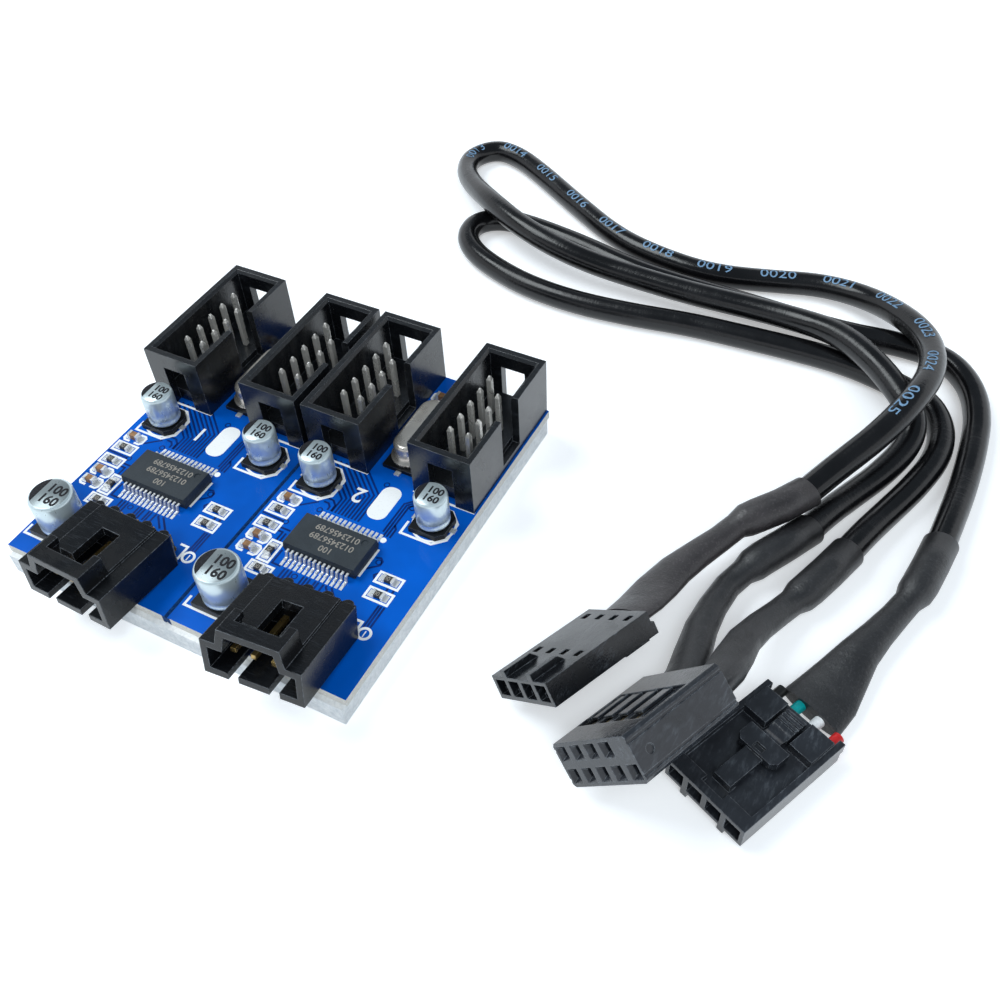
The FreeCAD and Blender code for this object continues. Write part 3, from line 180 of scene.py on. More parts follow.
# Routes of the two cable legs, in millimetres, from the host plug's boot to the hub plug's
CABLE_ROUTES = {
    1: [(61.4, 21.0, 2.5), (62.4, 24.4, 2.2), (64.3, 29.1, 1.8), (66.9, 34.6, 2.0), (68.7, 39.8, 3.0),
        (68.1, 43.4, 4.5), (65.0, 46.2, 5.8), (60.6, 50.3, 6.1), (54.8, 54.2, 5.9), (48.0, 56.5, 4.4),
        (40.1, 56.8, 4.0), (32.4, 56.4, 4.0), (24.0, 56.5, 4.1), (16.5, 56.5, 4.5), (9.6, 56.8, 5.6),
        (2.3, 59.1, 6.1), (-4.2, 62.9, 6.0), (-11.1, 69.1, 3.7), (-15.8, 74.6, 2.2), (-17.3, 79.6, 1.8),
        (-14.3, 83.8, 1.8), (-9.4, 83.0, 1.8), (-3.2, 79.5, 1.8), (6.0, 73.6, 1.8), (15.8, 67.7, 1.8),
        (24.5, 65.4, 1.8), (33.0, 64.7, 1.8), (41.2, 66.8, 1.8), (49.0, 68.9, 2.1), (56.6, 67.1, 3.2),
        (63.1, 60.9, 5.8), (66.8, 55.9, 6.8), (68.4, 48.3, 8.6), (67.5, 40.2, 9.9), (65.3, 34.3, 8.6),
        (62.9, 30.3, 7.0), (61.2, 27.2, 6.1), (59.8, 24.0, 5.6)],
    2: [(66.5, 19.5, 2.5), (67.4, 23.1, 2.2), (69.0, 28.1, 1.8), (71.0, 33.9, 1.8), (72.4, 39.9, 1.8),
        (72.0, 45.3, 1.8), (69.3, 49.9, 1.8), (64.1, 51.9, 1.8), (57.2, 53.4, 1.8), (49.6, 53.3, 1.8),
        (41.8, 52.8, 1.8), (33.9, 52.2, 1.8), (26.0, 50.8, 1.8), (17.1, 49.9, 1.8), (8.5, 50.5, 1.8),
        (1.7, 52.5, 1.8), (-3.4, 54.9, 1.8), (-6.6, 58.2, 1.8), (-6.9, 62.2, 1.8), (-3.4, 65.0, 1.8),
        (2.8, 64.9, 1.8), (12.0, 63.4, 1.8), (21.6, 60.9, 1.8), (30.9, 60.2, 1.8), (39.3, 60.1, 1.8),
        (47.7, 59.7, 1.8), (55.5, 59.5, 1.8), (62.1, 60.5, 1.8), (68.8, 60.2, 1.8), (73.3, 56.0, 1.8),
        (75.5, 50.1, 1.8), (76.2, 43.3, 1.8), (76.4, 36.1, 1.8), (76.2, 30.1, 2.2), (76.0, 25.5, 2.4)],
}

# Length marks over the upper side of the first leg
MARK_FIRST = 13
MARK_STEP = 9.5
MARK_HEIGHT = 1.4
MARK_STRETCH = 1.35
MARK_TURN = math.radians(14)
MARK_CUTS = 3

# Angles in degrees past which a smoothed piece keeps its creases
BOOT_CREASE = 35
CAN_CREASE = 30

# Plastic where it is scuffed and along its edges, which are paler from wear and a painted highlight,
# heat-shrink that has faded, and the short wires
WORN_PLASTIC = (0.11, 0.124, 0.143, 1)
EDGE_WEAR_AND_HIGHLIGHT = (0.27, 0.295, 0.33, 1)
FADED_GAIN = (2.2, 1.9, 1.8)
WIRE_COLOURS = {"black": (0.01, 0.01, 0.01, 1), "green": (0.0, 0.28, 0.29, 1),
                "white": (0.8, 0.82, 0.84, 1), "red": (0.6, 0.02, 0.02, 1)}

# Stage, in metres and degrees: each soft box has a place, a size and whether it shows in reflections
FLOOR_REACH = 3.0
WALL_HEIGHT = 1.8
SKY_COLOUR = (0.72, 0.86, 1.0, 1)
SOFT_BOXES = {"key": ((-0.36, -0.04, 0.58), (0.4, 0.34), True),
              "fill": ((0.36, -0.34, 0.6), (0.6, 0.6), False)}
LAMP_TINT = (0.92, 0.98, 1.0)
LAMP_AIM = Vector((0.03, 0.02, 0.0))
CAMERA_PLACE = Vector((71.257, -68.551, 103.273)) * MM
CAMERA_TURN = (41.758, 2.438, 27.789)
SENSOR_WIDTH = 36.0
NEAREST_SEEN = 0.005


def colour_property(name, description, default):
    """A colour that a user may change."""
    return FloatVectorProperty(name=name, description=description, size=4, subtype="COLOR",
                               default=(*default, 1), min=0, max=1)


class BoardLook(PropertyGroup):
    """Colours of the circuit board and its foam."""

    mask: colour_property("Solder mask", "Colour of the board's lacquer", (0.0002, 0.1, 0.53))
    trace: colour_property("Traces", "Colour of the lacquer between copper areas", (0.0002, 0.022, 0.15))
    print: colour_property("Print", "Colour of the printed lines", (0.95, 0.96, 0.97))
    foam: colour_property("Foam", "Colour of the foam tape", (0.92, 0.94, 0.96))


class PartLook(PropertyGroup):
    """Colours of the connectors and the parts on the board."""

    plastic: colour_property("Black plastic", "Colour of the moulded connectors", (0.0055, 0.0062, 0.0078))
    can: colour_property("Cans", "Colour of the aluminium cans", (0.71, 0.82, 0.86))
    chip: colour_property("Chip", "Colour of the chip's moulding", (0.025, 0.0325, 0.04))
    ceramic: colour_property("Ceramic", "Colour of the small capacitors", (0.3, 0.15, 0.06))


class CableLook(PropertyGroup):
    """Size and colours of the cable."""

    diameter: FloatProperty(name="Jacket diameter", description="Outer diameter of the cable",
                            subtype="DISTANCE", default=3.5 * MM, min=1 * MM, max=10 * MM)
    jacket: colour_property("Jacket", "Colour of the cable's jacket", (0.0042, 0.0042, 0.005))
    marks: colour_property("Marks", "Colour of the figures along the jacket", (0.2, 0.35, 0.54))
    boot: colour_property("Heat shrink", "Colour of the boots", (0.013, 0.013, 0.0145))


class StageLook(PropertyGroup):
    """Floor, lamps and lens."""

    floor: colour_property("Floor", "Colour of the floor and the backdrop", (0.86, 0.885, 0.92))
    glow: FloatProperty(name="Floor glow", description="Light that whitens the floor where it is seen",
                        default=0.4, min=0, max=1)
    wall_glow: FloatProperty(name="Backdrop glow", default=0.72, min=0, max=1,
                             description="Light that whitens the backdrop where it is seen")
    sky: FloatProperty(name="Sky strength", description="Level of the even light from all round",
                       default=0.27, min=0, max=3)
    key: FloatProperty(name="Key soft box", description="Power of the soft box above on the left",
                       default=2.7, min=0, max=20, subtype="POWER")
    fill: FloatProperty(name="Fill soft box", description="Power of the soft box on the right of the camera",
                        default=3.5, min=0, max=20, subtype="POWER")
    lens: FloatProperty(name="Lens", description="Focal length of the camera", subtype="DISTANCE_CAMERA",
                        default=38.706, min=10, max=200)


class Value:
    """A node's output that can stand in a sum: each operation adds a Math node to its own material."""

    def __init__(self, finish, socket):
        self.finish = finish
        self.socket = socket

    def math(self, operation, first, second):
        return self.finish.add("ShaderNodeMath", {"operation": operation}, {0: first, 1: second})

    def __add__(self, other):
        return self.math("ADD", self, other)

    def __radd__(self, other):
        return self.math("ADD", other, self)

    def __sub__(self, other):
        return self.math("SUBTRACT", self, other)

    def __rsub__(self, other):
        return self.math("SUBTRACT", other, self)

    def __mul__(self, other):
        return self.math("MULTIPLY", self, other)

    def __rmul__(self, other):
        return self.math("MULTIPLY", other, self)

    def __gt__(self, other):
        return self.math("GREATER_THAN", self, other)

    def __lt__(self, other):
        return self.math("LESS_THAN", self, other)

    def __abs__(self):
        return self.math("ABSOLUTE", self, 0.0)


class Finish:
    """One procedural material: a node tree, its shader and one method that adds every other node."""

    def __init__(self, name):
        self.material = bpy.data.materials.new(name)
        self.material.use_nodes = True
        self.nodes = self.material.node_tree.nodes
        self.links = self.material.node_tree.links
        self.shader = self.nodes["Principled BSDF"]
        self.place = self.add("ShaderNodeTexCoord", output="Object")

    def add(self, kind, settings=None, inputs=None, output=0):
        node = self.nodes.new(kind)
        for name, value in (settings or {}).items():
            setattr(node, name, value)
        for key, value in (inputs or {}).items():
            self.feed(node.inputs[key], value)
        return Value(self, node.outputs[output])

    def feed(self, socket, value):
        if isinstance(value, Value):
            self.links.new(value.socket, socket)
        else:
            socket.default_value = value

    def shade(self, **sockets):
        """Feeds the shader: a socket's name is given with underscores for its spaces."""
        for name, value in sockets.items():
            self.feed(self.shader.inputs[name.replace("_", " ")], value)
        return self.material

    def noise(self, grain, detail=3.0, roughness=0.6, stretch=None):
        """Noise whose grain is a size in millimetres; stretch squeezes it along the axes."""
        place = self.place
        if stretch:
            place = self.add("ShaderNodeMapping", None, {"Vector": place, "Scale": stretch})
        return self.add("ShaderNodeTexNoise", None, {"Vector": place, "Scale": 1 / (grain * MM),
                                                     "Detail": detail, "Roughness": roughness})

    def rings(self, count):
        """Noise in rings across a cord, with a count of them along its own UV map."""
        along = self.add("ShaderNodeTexCoord", output="UV")
        place = self.add("ShaderNodeMapping", None, {"Vector": along, "Scale": (count, 2.0, 1.0)})
        return self.add("ShaderNodeTexNoise", None, {"Vector": place, "Scale": 1.0, "Detail": 3.0,
                                                     "Roughness": 0.6})

    def axis(self, vector, name):
        """One of a vector's three parts."""
        return self.add("ShaderNodeSeparateXYZ", None, {0: vector}, name)

    def upward(self):
        """The vertical part of a face's normal."""
        return self.axis(self.add("ShaderNodeNewGeometry", output="Normal"), "Z")

    def ramp(self, value, low, high):
        """Brings a value between two limits to the range 0 to 1."""
        return self.add("ShaderNodeMapRange", {"clamp": True},
                        {"Value": value, "From Min": low, "From Max": high, "To Min": 0.0, "To Max": 1.0})

    def patches(self, grain, low, high, detail=3.0, roughness=0.6):
        """Soft patches: noise that is 0 below one limit and 1 above another."""
        return self.ramp(self.noise(grain, detail, roughness), low, high)

    def mix(self, factor, first, second):
        return self.add("ShaderNodeMix", {"data_type": "RGBA"}, {0: factor, 6: first, 7: second}, 2)

    def shades(self, factor, colour, first, second):
        """Goes from one shade of a colour to another."""
        return self.mix(factor, shade_of(colour, first), shade_of(colour, second))

    def rounded(self, radius):
        """Normal that rounds sharp edges over a radius in millimetres."""
        return self.add("ShaderNodeBevel", {"samples": 4}, {"Radius": radius * MM})

    def edges(self, soft, gain=3.0):
        """Mask of the rounded edges: where the rounded normal leaves the flat one."""
        flat = self.add("ShaderNodeNewGeometry", output="Normal")
        along = self.add("ShaderNodeVectorMath", {"operation": "DOT_PRODUCT"}, {0: soft, 1: flat}, "Value")
        return self.ramp(1 - along, 0.0, 1 / gain)

    def bump(self, height, depth, normal=None):
        """Bump of a height from 0 to 1 over a depth in millimetres."""
        inputs = {"Height": height, "Distance": depth * MM, "Strength": 1.0}
        if normal is not None:
            inputs["Normal"] = normal
        return self.add("ShaderNodeBump", None, inputs)


def shade_of(colour, factor):
    """A lighter or darker shade of a colour."""
    return tuple(min(1.0, part * factor) for part in colour[:3]) + (1.0,)


def moulded_plastic(name, colour, *, grain, scuffs, rough, rounding, gloss, brush=(1.0, 9.0, 3.0)):
    """Moulded black plastic: fine grain, cloudy polish, scratches and edges made paler, partly by wear and
    partly by a painted highlight.
    """
    finish = Finish(name)
    soft = finish.rounded(rounding)
    paler_mask = finish.edges(soft)
    cloud = finish.noise(4.0, detail=4.0)
    speck = finish.noise(grain, detail=2.0)
    scratch = finish.noise(2.0, detail=5.0, roughness=0.7, stretch=brush)
    scuff = finish.ramp(scratch, 0.5, 0.7) * finish.ramp(cloud, 0.4, 0.66) * scuffs
    tone = finish.shades(finish.ramp(cloud, 0.3, 0.72), colour, 0.8, 1.5)
    tone = finish.mix(scuff, tone, WORN_PLASTIC)
    # Paler along the rounded edges: partly wear, partly a painted highlight that lets the edges read
    tone = finish.mix(paler_mask * finish.ramp(scratch, 0.36, 0.6), tone, EDGE_WEAR_AND_HIGHLIGHT)
    return finish.shade(Base_Color=tone,
                        Roughness=rough - 0.14 * finish.ramp(cloud, 0.35, 0.7) + 0.25 * scuff,
                        Normal=finish.bump(speck, 0.012, soft), Specular_IOR_Level=gloss)


def bright_metal(name, colour, *, rough, grain=0.3, rounding=None, stretch=None, tarnish=0.35, metal=0.75):
    """Tinned or gilt metal with faint drawing marks and dull patches."""
    finish = Finish(name)
    marks = finish.noise(grain, stretch=stretch)
    patch = finish.patches(grain * 8, 0.4, 0.7)
    tone = finish.shades(patch * tarnish, colour, 1.0, 0.55)
    soft = finish.rounded(rounding) if rounding else None
    return finish.shade(Base_Color=tone, Metallic=metal, Roughness=rough + 0.2 * patch + 0.1 * (marks - 0.5),
                        Normal=finish.bump(marks, 0.004, soft))


def board_lacquer(look):
    """Blue solder mask on top, pale glass laminate on the sawn edges, and painted shade on the walls of the
    score line's groove.
    """
    finish = Finish("board_lacquer")
    level = finish.axis(finish.place, "Z")
    from_score = abs(finish.axis(finish.place, "X"))
    on_top = (finish.upward() > 0.9) * (level > (BOARD_TOP - 0.05) * MM)
    grain = finish.noise(0.35, detail=2.0)
    blue = finish.shades(finish.patches(9.0, 0.35, 0.7, roughness=0.5), look.mask, 0.85, 1.18)
    fibre = finish.noise(0.3, roughness=0.7, stretch=(1.0, 1.0, 6.0))
    sawn = finish.mix(finish.ramp(fibre, 0.35, 0.7), (0.62, 0.58, 0.52, 1), (0.92, 0.91, 0.88, 1))
    # Painted shade: the walls of the score groove are coloured dark blue rather than pale laminate
    dark = finish.mix(finish.ramp(fibre, 0.45, 0.62), (0.003, 0.03, 0.13, 1), (0.02, 0.08, 0.22, 1))
    edge = finish.mix(from_score < SCORE_HALF_WIDTH * MM, sawn, dark)
    return finish.shade(Base_Color=finish.mix(on_top, edge, blue),
                        Roughness=0.62 - 0.42 * on_top + 0.06 * grain,
                        Normal=finish.bump(grain, 0.004), Specular_IOR_Level=0.15)


def print_ink(look):
    """White printed lines, thin enough for the board to grey them in places."""
    finish = Finish("print_ink")
    thin = finish.patches(0.25, 0.25, 0.42, roughness=0.65)
    return finish.shade(Base_Color=finish.shades(thin, look.print, 0.8, 1.0), Roughness=0.55 + 0.1 * thin)


def trace_lacquer(look):
    """Darker lacquer in the gaps between copper areas."""
    finish = Finish("trace_lacquer")
    cloud = finish.patches(3.0, 0.3, 0.7, roughness=0.5)
    return finish.shade(Base_Color=finish.shades(cloud, look.trace, 0.8, 1.3), Roughness=0.3 + 0.1 * cloud,
                        Specular_IOR_Level=0.15)


def foam_cells(look):
    """Pale closed-cell foam with a speckled cut edge."""
    finish = Finish("foam_cells")
    cells = finish.add("ShaderNodeTexVoronoi", None, {"Vector": finish.place, "Scale": 1 / (0.4 * MM)})
    cloud = finish.patches(1.2, 0.35, 0.68, detail=4.0, roughness=0.7)
    tone = finish.shades(cloud, look.foam, 0.88, 1.1)
    tone = finish.mix(finish.ramp(cells, 0.5, 0.75) * 0.2, tone, shade_of(look.foam, 0.6))
    return finish.shade(Base_Color=tone, Roughness=0.9, Normal=finish.bump(1 - cells, 0.05))


def can_aluminium(name, look, top):
    """Drawn aluminium: satin, with fine upright drawing marks and a top in a painted shade of its own."""
    finish = Finish(name)
    drawn = finish.noise(0.25, stretch=(1.0, 1.0, 0.05))
    dull = finish.patches(1.6, 0.4, 0.72)
    tone = finish.shades(dull * 0.1, look.can, 1.0, 0.75)
    # Painted shade: upward faces take a darker shade of the can's colour, standing in for how the light falls
    # on the tops
    tone = finish.mix(finish.ramp(finish.upward(), 0.9, 0.97), tone, shade_of(look.can, top))
    return finish.shade(Base_Color=tone, Metallic=0.52, Roughness=0.28 + 0.05 * dull + 0.06 * (drawn - 0.5),
                        Normal=finish.bump(drawn, 0.0012))


def code_ink():
    """Pale codes marked on the chips and the resistors."""
    finish = Finish("code_ink")
    thin = finish.patches(0.12, 0.3, 0.6, roughness=0.65)
    tone = finish.mix(thin, (0.15, 0.135, 0.12, 1), (0.36, 0.33, 0.29, 1))
    return finish.shade(Base_Color=tone, Roughness=0.6 + 0.1 * thin)


def can_ink():
    """Black print on the cans' tops."""
    finish = Finish("can_ink")
    paler_mask = finish.patches(0.2, 0.35, 0.7)
    tone = finish.mix(paler_mask, (0.006, 0.006, 0.008, 1), (0.03, 0.03, 0.036, 1))
    return finish.shade(Base_Color=tone, Roughness=0.55 + 0.15 * paler_mask, Specular_IOR_Level=0.2)


def chip_moulding(look):
    """Sandy dark grey moulding compound."""
    finish = Finish("chip_moulding")
    soft = finish.rounded(0.08)
    sand = finish.noise(0.09, detail=2.0, roughness=0.7)
    tone = finish.shades(finish.patches(2.2, 0.3, 0.72, roughness=0.5), look.chip, 0.85, 1.2)
    tone = finish.mix(finish.ramp(sand, 0.55, 0.7) * 0.4, tone, shade_of(look.chip, 2.2))
    tone = finish.mix(finish.edges(soft) * 0.35, tone, shade_of(look.chip, 3.0))
    return finish.shade(Base_Color=tone, Roughness=0.5 + 0.15 * sand, Normal=finish.bump(sand, 0.02, soft),
                        Specular_IOR_Level=0.35)


def fired_ceramic(name, colour):
    """Fired ceramic block with faint layers and a slight glaze."""
    finish = Finish(name)
    grain = finish.noise(0.2)
    layer = finish.noise(0.7, detail=2.0, roughness=0.5, stretch=(1.0, 1.0, 5.0))
    tone = finish.shades(finish.ramp(layer, 0.35, 0.65), colour, 0.75, 1.25)
    return finish.shade(Base_Color=tone, Roughness=0.35 + 0.2 * grain,
                        Normal=finish.bump(grain, 0.01, finish.rounded(0.06)))


def jacket_vinyl(look):
    """Soft black jacket: clear sheen, fine cross wrinkles, scuffed patches and dust."""
    finish = Finish("jacket_vinyl")
    rings = finish.rings(620.0)
    skin = finish.noise(0.5, detail=4.0)
    cloud = finish.patches(7.0, 0.38, 0.68, roughness=0.55)
    dust = finish.patches(0.22, 0.7, 0.8, roughness=0.7)
    tone = finish.shades(cloud, look.jacket, 0.8, 1.6)
    tone = finish.mix(dust * 0.1, tone, (0.3, 0.28, 0.29, 1))
    return finish.shade(Base_Color=tone, Roughness=0.13 + 0.15 * cloud + 0.06 * skin,
                        Normal=finish.bump(rings * cloud + 0.25 * skin, 0.045), Specular_IOR_Level=0.45)


def jacket_ink(look):
    """Pale blue marking ink, thin over the jacket's wrinkles."""
    finish = Finish("jacket_ink")
    thin = finish.patches(0.16, 0.3, 0.5, roughness=0.65)
    return finish.shade(Base_Color=finish.shades(thin, look.marks, 0.4, 1.0), Roughness=0.45 + 0.1 * thin)


def shrink_sleeve(name, colour):
    """Matt heat-shrink with a fine pebbled skin and stretch marks."""
    finish = Finish(name)
    pebble = finish.noise(0.26, roughness=0.7)
    lumps = finish.noise(2.2, detail=2.0, roughness=0.5)
    cloud = finish.patches(3.0, 0.3, 0.72, detail=4.0)
    tone = finish.shades(cloud, colour, 0.72, 1.3)
    tone = finish.mix(finish.ramp(pebble, 0.54, 0.7) * 0.5, tone, shade_of(colour, 4.0))
    return finish.shade(Base_Color=tone, Roughness=0.36 + 0.1 * cloud,
                        Normal=finish.bump(lumps, 0.14, finish.bump(pebble, 0.06)), Specular_IOR_Level=0.8)


def wire_skin(name, colour):
    """Coloured wire insulation with a soft sheen."""
    finish = Finish(name)
    cloud = finish.patches(0.8, 0.3, 0.7)
    return finish.shade(Base_Color=finish.shades(cloud, colour, 0.8, 1.15), Roughness=0.32 + 0.1 * cloud,
                        Normal=finish.bump(cloud, 0.01))


def coat(node, material):
    """Gives a CAD node a finish of its own."""
    NODES[node].data.materials.clear()
    NODES[node].data.materials.append(material)


def spot(side, x, y, lift=0.0):
    """A place on one circuit, in metres."""
    return Vector((side * HALF_PITCH + x, y, BOARD_TOP + lift)) * MM


def figures_mesh(body, height, boldness):
    """Plain figures as a flat mesh about the origin; the height is in millimetres."""
    letters = bpy.data.curves.new("figures", "FONT")
    letters.body = body
    letters.size = height * MM / FIGURE_SHARE
    letters.extrude = PRINT_LIFT * MM / 2
    letters.resolution_u = LETTER_STEPS
    letters.offset = height * MM * boldness
    letters.align_x = "CENTER"
    letters.align_y = "CENTER"
    holder = bpy.data.objects.new("figures", letters)
    mesh = bpy.data.meshes.new_from_object(holder)
    bpy.data.objects.remove(holder)
    bpy.data.curves.remove(letters)
    bm = bmesh.new()
    bm.from_mesh(mesh)
    bmesh.ops.remove_doubles(bm, verts=bm.verts, dist=JOIN_WITHIN * MM)
    flat = {face for face in bm.faces
            if len({round(vert.co.z / MM, 4) for vert in face.verts}) == 1}
    inner = [edge for edge in bm.edges
             if len(edge.link_faces) == 2 and flat.issuperset(edge.link_faces)]
    bmesh.ops.beautify_fill(bm, faces=list(flat), edges=inner, method="AREA")
    bm.to_mesh(mesh)
    bm.free()
    return mesh


def add_figures(bm, body, height, centre, turn=PRINT_TURN, boldness=FIGURE_BOLDNESS):
    """Adds plain figures that lie flat about a centre in metres."""
    mesh = figures_mesh(body, height, boldness)
    mesh.transform(Matrix.Translation(centre) @ Matrix.Rotation(math.radians(turn), 4, "Z"))
    bm.from_mesh(mesh)
    bpy.data.meshes.remove(mesh)


def place_piece(name, bm, material, replaced=(), crease=None):
    """Turns a bmesh into a finished piece that rides on the part, flat or smooth up to a crease."""
    mesh = bpy.data.meshes.new(name)
    if crease is not None:
        for face in bm.faces:
            face.smooth = True
    bm.to_mesh(mesh)
    bm.free()
    if crease is not None:
        mesh.set_sharp_from_angle(angle=math.radians(crease))
    mesh.materials.append(material)
    piece = bpy.data.objects.new(name, mesh)
    bpy.context.scene.collection.objects.link(piece)
    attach(piece, ROOT)
    if replaced:
        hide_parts(*replaced)
    return piece


def add_block(bm, centre, size, turn=0.0):
    """Adds a box of a size in millimetres about a centre in metres, turned about the vertical."""
    bmesh.ops.create_cube(bm, size=1, matrix=Matrix.Translation(centre)
                          @ Matrix.Rotation(math.radians(turn), 4, "Z")
                          @ Matrix.Diagonal((size[0] * MM, size[1] * MM, size[2] * MM, 1)))


def by_place(element):
    """One number for where a corner or a face is, to sort by."""
    place = element.co if isinstance(element, bmesh.types.BMVert) else element.calc_center_median()
    return place.x + place.y * SORT_STEP + place.z * SORT_STEP ** 2


def add_shape(bm, shape):
    """Adds a finished shape in a steady order, because operators can give its faces in any order."""
    for elements in (shape.verts, shape.faces):
        elements.sort(key=by_place)
    mesh = bpy.data.meshes.new("shape")
    shape.to_mesh(mesh)
    shape.free()
    bm.from_mesh(mesh)
    bpy.data.meshes.remove(mesh)


def add_path(bm, points, width, height):
    """Adds a flat, mitred strip along a run of places, closed if the run ends where it starts."""
    closed = (points[0] - points[-1]).length < JOIN_WITHIN * MM
    ways = [(end - start).normalized() for start, end in zip(points, points[1:])]
    before = [ways[-1] if closed else ways[0]] + ways
    after = ways + [ways[0] if closed else ways[-1]]
    sections = []
    for point, way_in, way_out in list(zip(points, before, after))[:-1 if closed else None]:
        mitre = (UP.cross(way_in) + UP.cross(way_out)).normalized()
        reach = mitre * (width * MM / 2 / mitre.dot(UP.cross(way_out)))
        lift = UP * (height * MM / 2)
        sections.append([bm.verts.new(point + side * reach + level * lift)
                         for side, level in ((-1, -1), (-1, 1), (1, 1), (1, -1))])
    links = list(zip(sections, sections[1:])) + ([(sections[-1], sections[0])] if closed else [])
    for first, second in links:
        for corner in range(4):
            bm.faces.new((first[corner], first[corner - 1], second[corner - 1], second[corner]))
    if not closed:
        bm.faces.new(sections[0])
        bm.faces.new(reversed(sections[-1]))


def add_ring(bm, centre, radius, width, height, steps):
    """Adds a flat ring: a small square spun round the vertical."""
    ring = bmesh.new()
    corners = [ring.verts.new(Vector((radius + side * width / 2, 0, level * height)) * MM)
               for side, level in ((-1, 0), (1, 0), (1, 1), (-1, 1))]
    rim = [ring.edges.new((corners[index - 1], corner)) for index, corner in enumerate(corners)]
    bmesh.ops.spin(ring, geom=corners + rim, cent=(0, 0, 0), axis=UP, angle=math.tau, steps=steps,
                   use_merge=True)
    bmesh.ops.recalc_face_normals(ring, faces=ring.faces)
    bmesh.ops.translate(ring, verts=ring.verts, vec=centre)
    add_shape(bm, ring)


def add_segment(bm, centre, radius, cut):
    """Adds a thin segment of a disc: what lies beyond a straight cut on its left."""
    disc = bmesh.new()
    bmesh.ops.create_cone(disc, cap_ends=True, segments=CAN_STEPS, radius1=radius * MM,
                          radius2=radius * MM, depth=PRINT_LIFT * MM)
    parts = disc.verts[:] + disc.edges[:] + disc.faces[:]
    kept = bmesh.ops.bisect_plane(disc, geom=parts, plane_co=(-cut * MM, 0, 0), plane_no=(1, 0, 0),
                                  clear_outer=True)
    rim = [part for part in kept["geom_cut"] if isinstance(part, bmesh.types.BMEdge)]
    bmesh.ops.holes_fill(disc, edges=rim)
    bmesh.ops.translate(disc, verts=disc.verts, vec=centre)
    add_shape(bm, disc)


def smooth_copy(name, node, material, crease):
    """Puts a smooth copy of a CAD node, with its shared corners joined, in the node's place."""
    bm = bmesh.new()
    bm.from_mesh(NODES[node].data)
    bmesh.ops.remove_doubles(bm, verts=bm.verts, dist=JOIN_WITHIN * MM)
    return place_piece(name, bm, material, [node], crease)


class PieceOperator:
    """What the operators share: each is listed once it has run and can be undone."""

    bl_options = {"REGISTER", "UNDO"}


class SPLITTER_OT_stage(PieceOperator, Operator):
    """Pale floor and backdrop, even sky, two soft boxes and the camera"""

    bl_idname = "splitter.stage"
    bl_label = "Stage"

    def place_card(self, name, bm, colour, glow):
        """Places a pale card that is lifted to white where it is seen."""
        finish = Finish(f"{name}_card")
        cloud = finish.patches(60.0, 0.3, 0.7, detail=2.0, roughness=0.5)
        tone = finish.shades(cloud, colour, 0.99, 1.0)
        rays = [finish.add("ShaderNodeLightPath", output=f"Is {kind} Ray")
                for kind in ("Camera", "Glossy", "Transmission")]
        seen = rays[0] + rays[1] + rays[2]
        light = finish.mix(seen > 0.5, (0, 0, 0, 1), (1, 1, 1, 1))
        mesh = bpy.data.meshes.new(name)
        bm.to_mesh(mesh)
        bm.free()
        mesh.materials.append(finish.shade(Base_Color=tone, Roughness=0.8, Specular_IOR_Level=0.2,
                                           Emission_Color=light, Emission_Strength=glow))
        card = bpy.data.objects.new(name, mesh)
        bpy.context.scene.collection.objects.link(card)
        return card

    def execute(self, context):
        look = context.scene.splitter_stage
        ground, wall = bmesh.new(), bmesh.new()
        bmesh.ops.create_grid(ground, x_segments=1, y_segments=1, size=FLOOR_REACH)
        bmesh.ops.create_cone(wall, cap_ends=False, segments=WALL_STEPS, radius1=FLOOR_REACH,
                              radius2=FLOOR_REACH, depth=WALL_HEIGHT,
                              matrix=Matrix.Translation((0, 0, WALL_HEIGHT / 2)))
        bmesh.ops.reverse_faces(wall, faces=wall.faces)
        self.place_card("floor", ground, look.floor, look.glow)
        backdrop = self.place_card("backdrop", wall, look.floor, look.wall_glow)
        backdrop.visible_diffuse = False
        backdrop.visible_shadow = False

        world = bpy.data.worlds.new("sky")
        world.use_nodes = True
        sky = world.node_tree.nodes["Background"]
        sky.inputs["Color"].default_value = SKY_COLOUR
        sky.inputs["Strength"].default_value = look.sky
        context.scene.world = world

        for name, (place, size, mirrored) in SOFT_BOXES.items():
            lamp = bpy.data.lights.new(name, "AREA")
            lamp.shape = "RECTANGLE"
            lamp.size, lamp.size_y = size
            lamp.energy = getattr(look, name)
            lamp.color = LAMP_TINT
            box = bpy.data.objects.new(name, lamp)
            box.location = place
            box.visible_glossy = mirrored
            box.rotation_euler = (LAMP_AIM - box.location).to_track_quat("-Z", "Y").to_euler()
            context.scene.collection.objects.link(box)

        lens = bpy.data.cameras.new("camera")
        lens.lens = look.lens
        lens.sensor_width = SENSOR_WIDTH
        lens.clip_start = NEAREST_SEEN
        camera = bpy.data.objects.new("camera", lens)
        camera.location = CAMERA_PLACE
        camera.rotation_euler = [math.radians(angle) for angle in CAMERA_TURN]
        context.scene.collection.objects.link(camera)
        context.scene.camera = camera
        context.scene.view_settings.view_transform = "Standard"
        return {"FINISHED"}


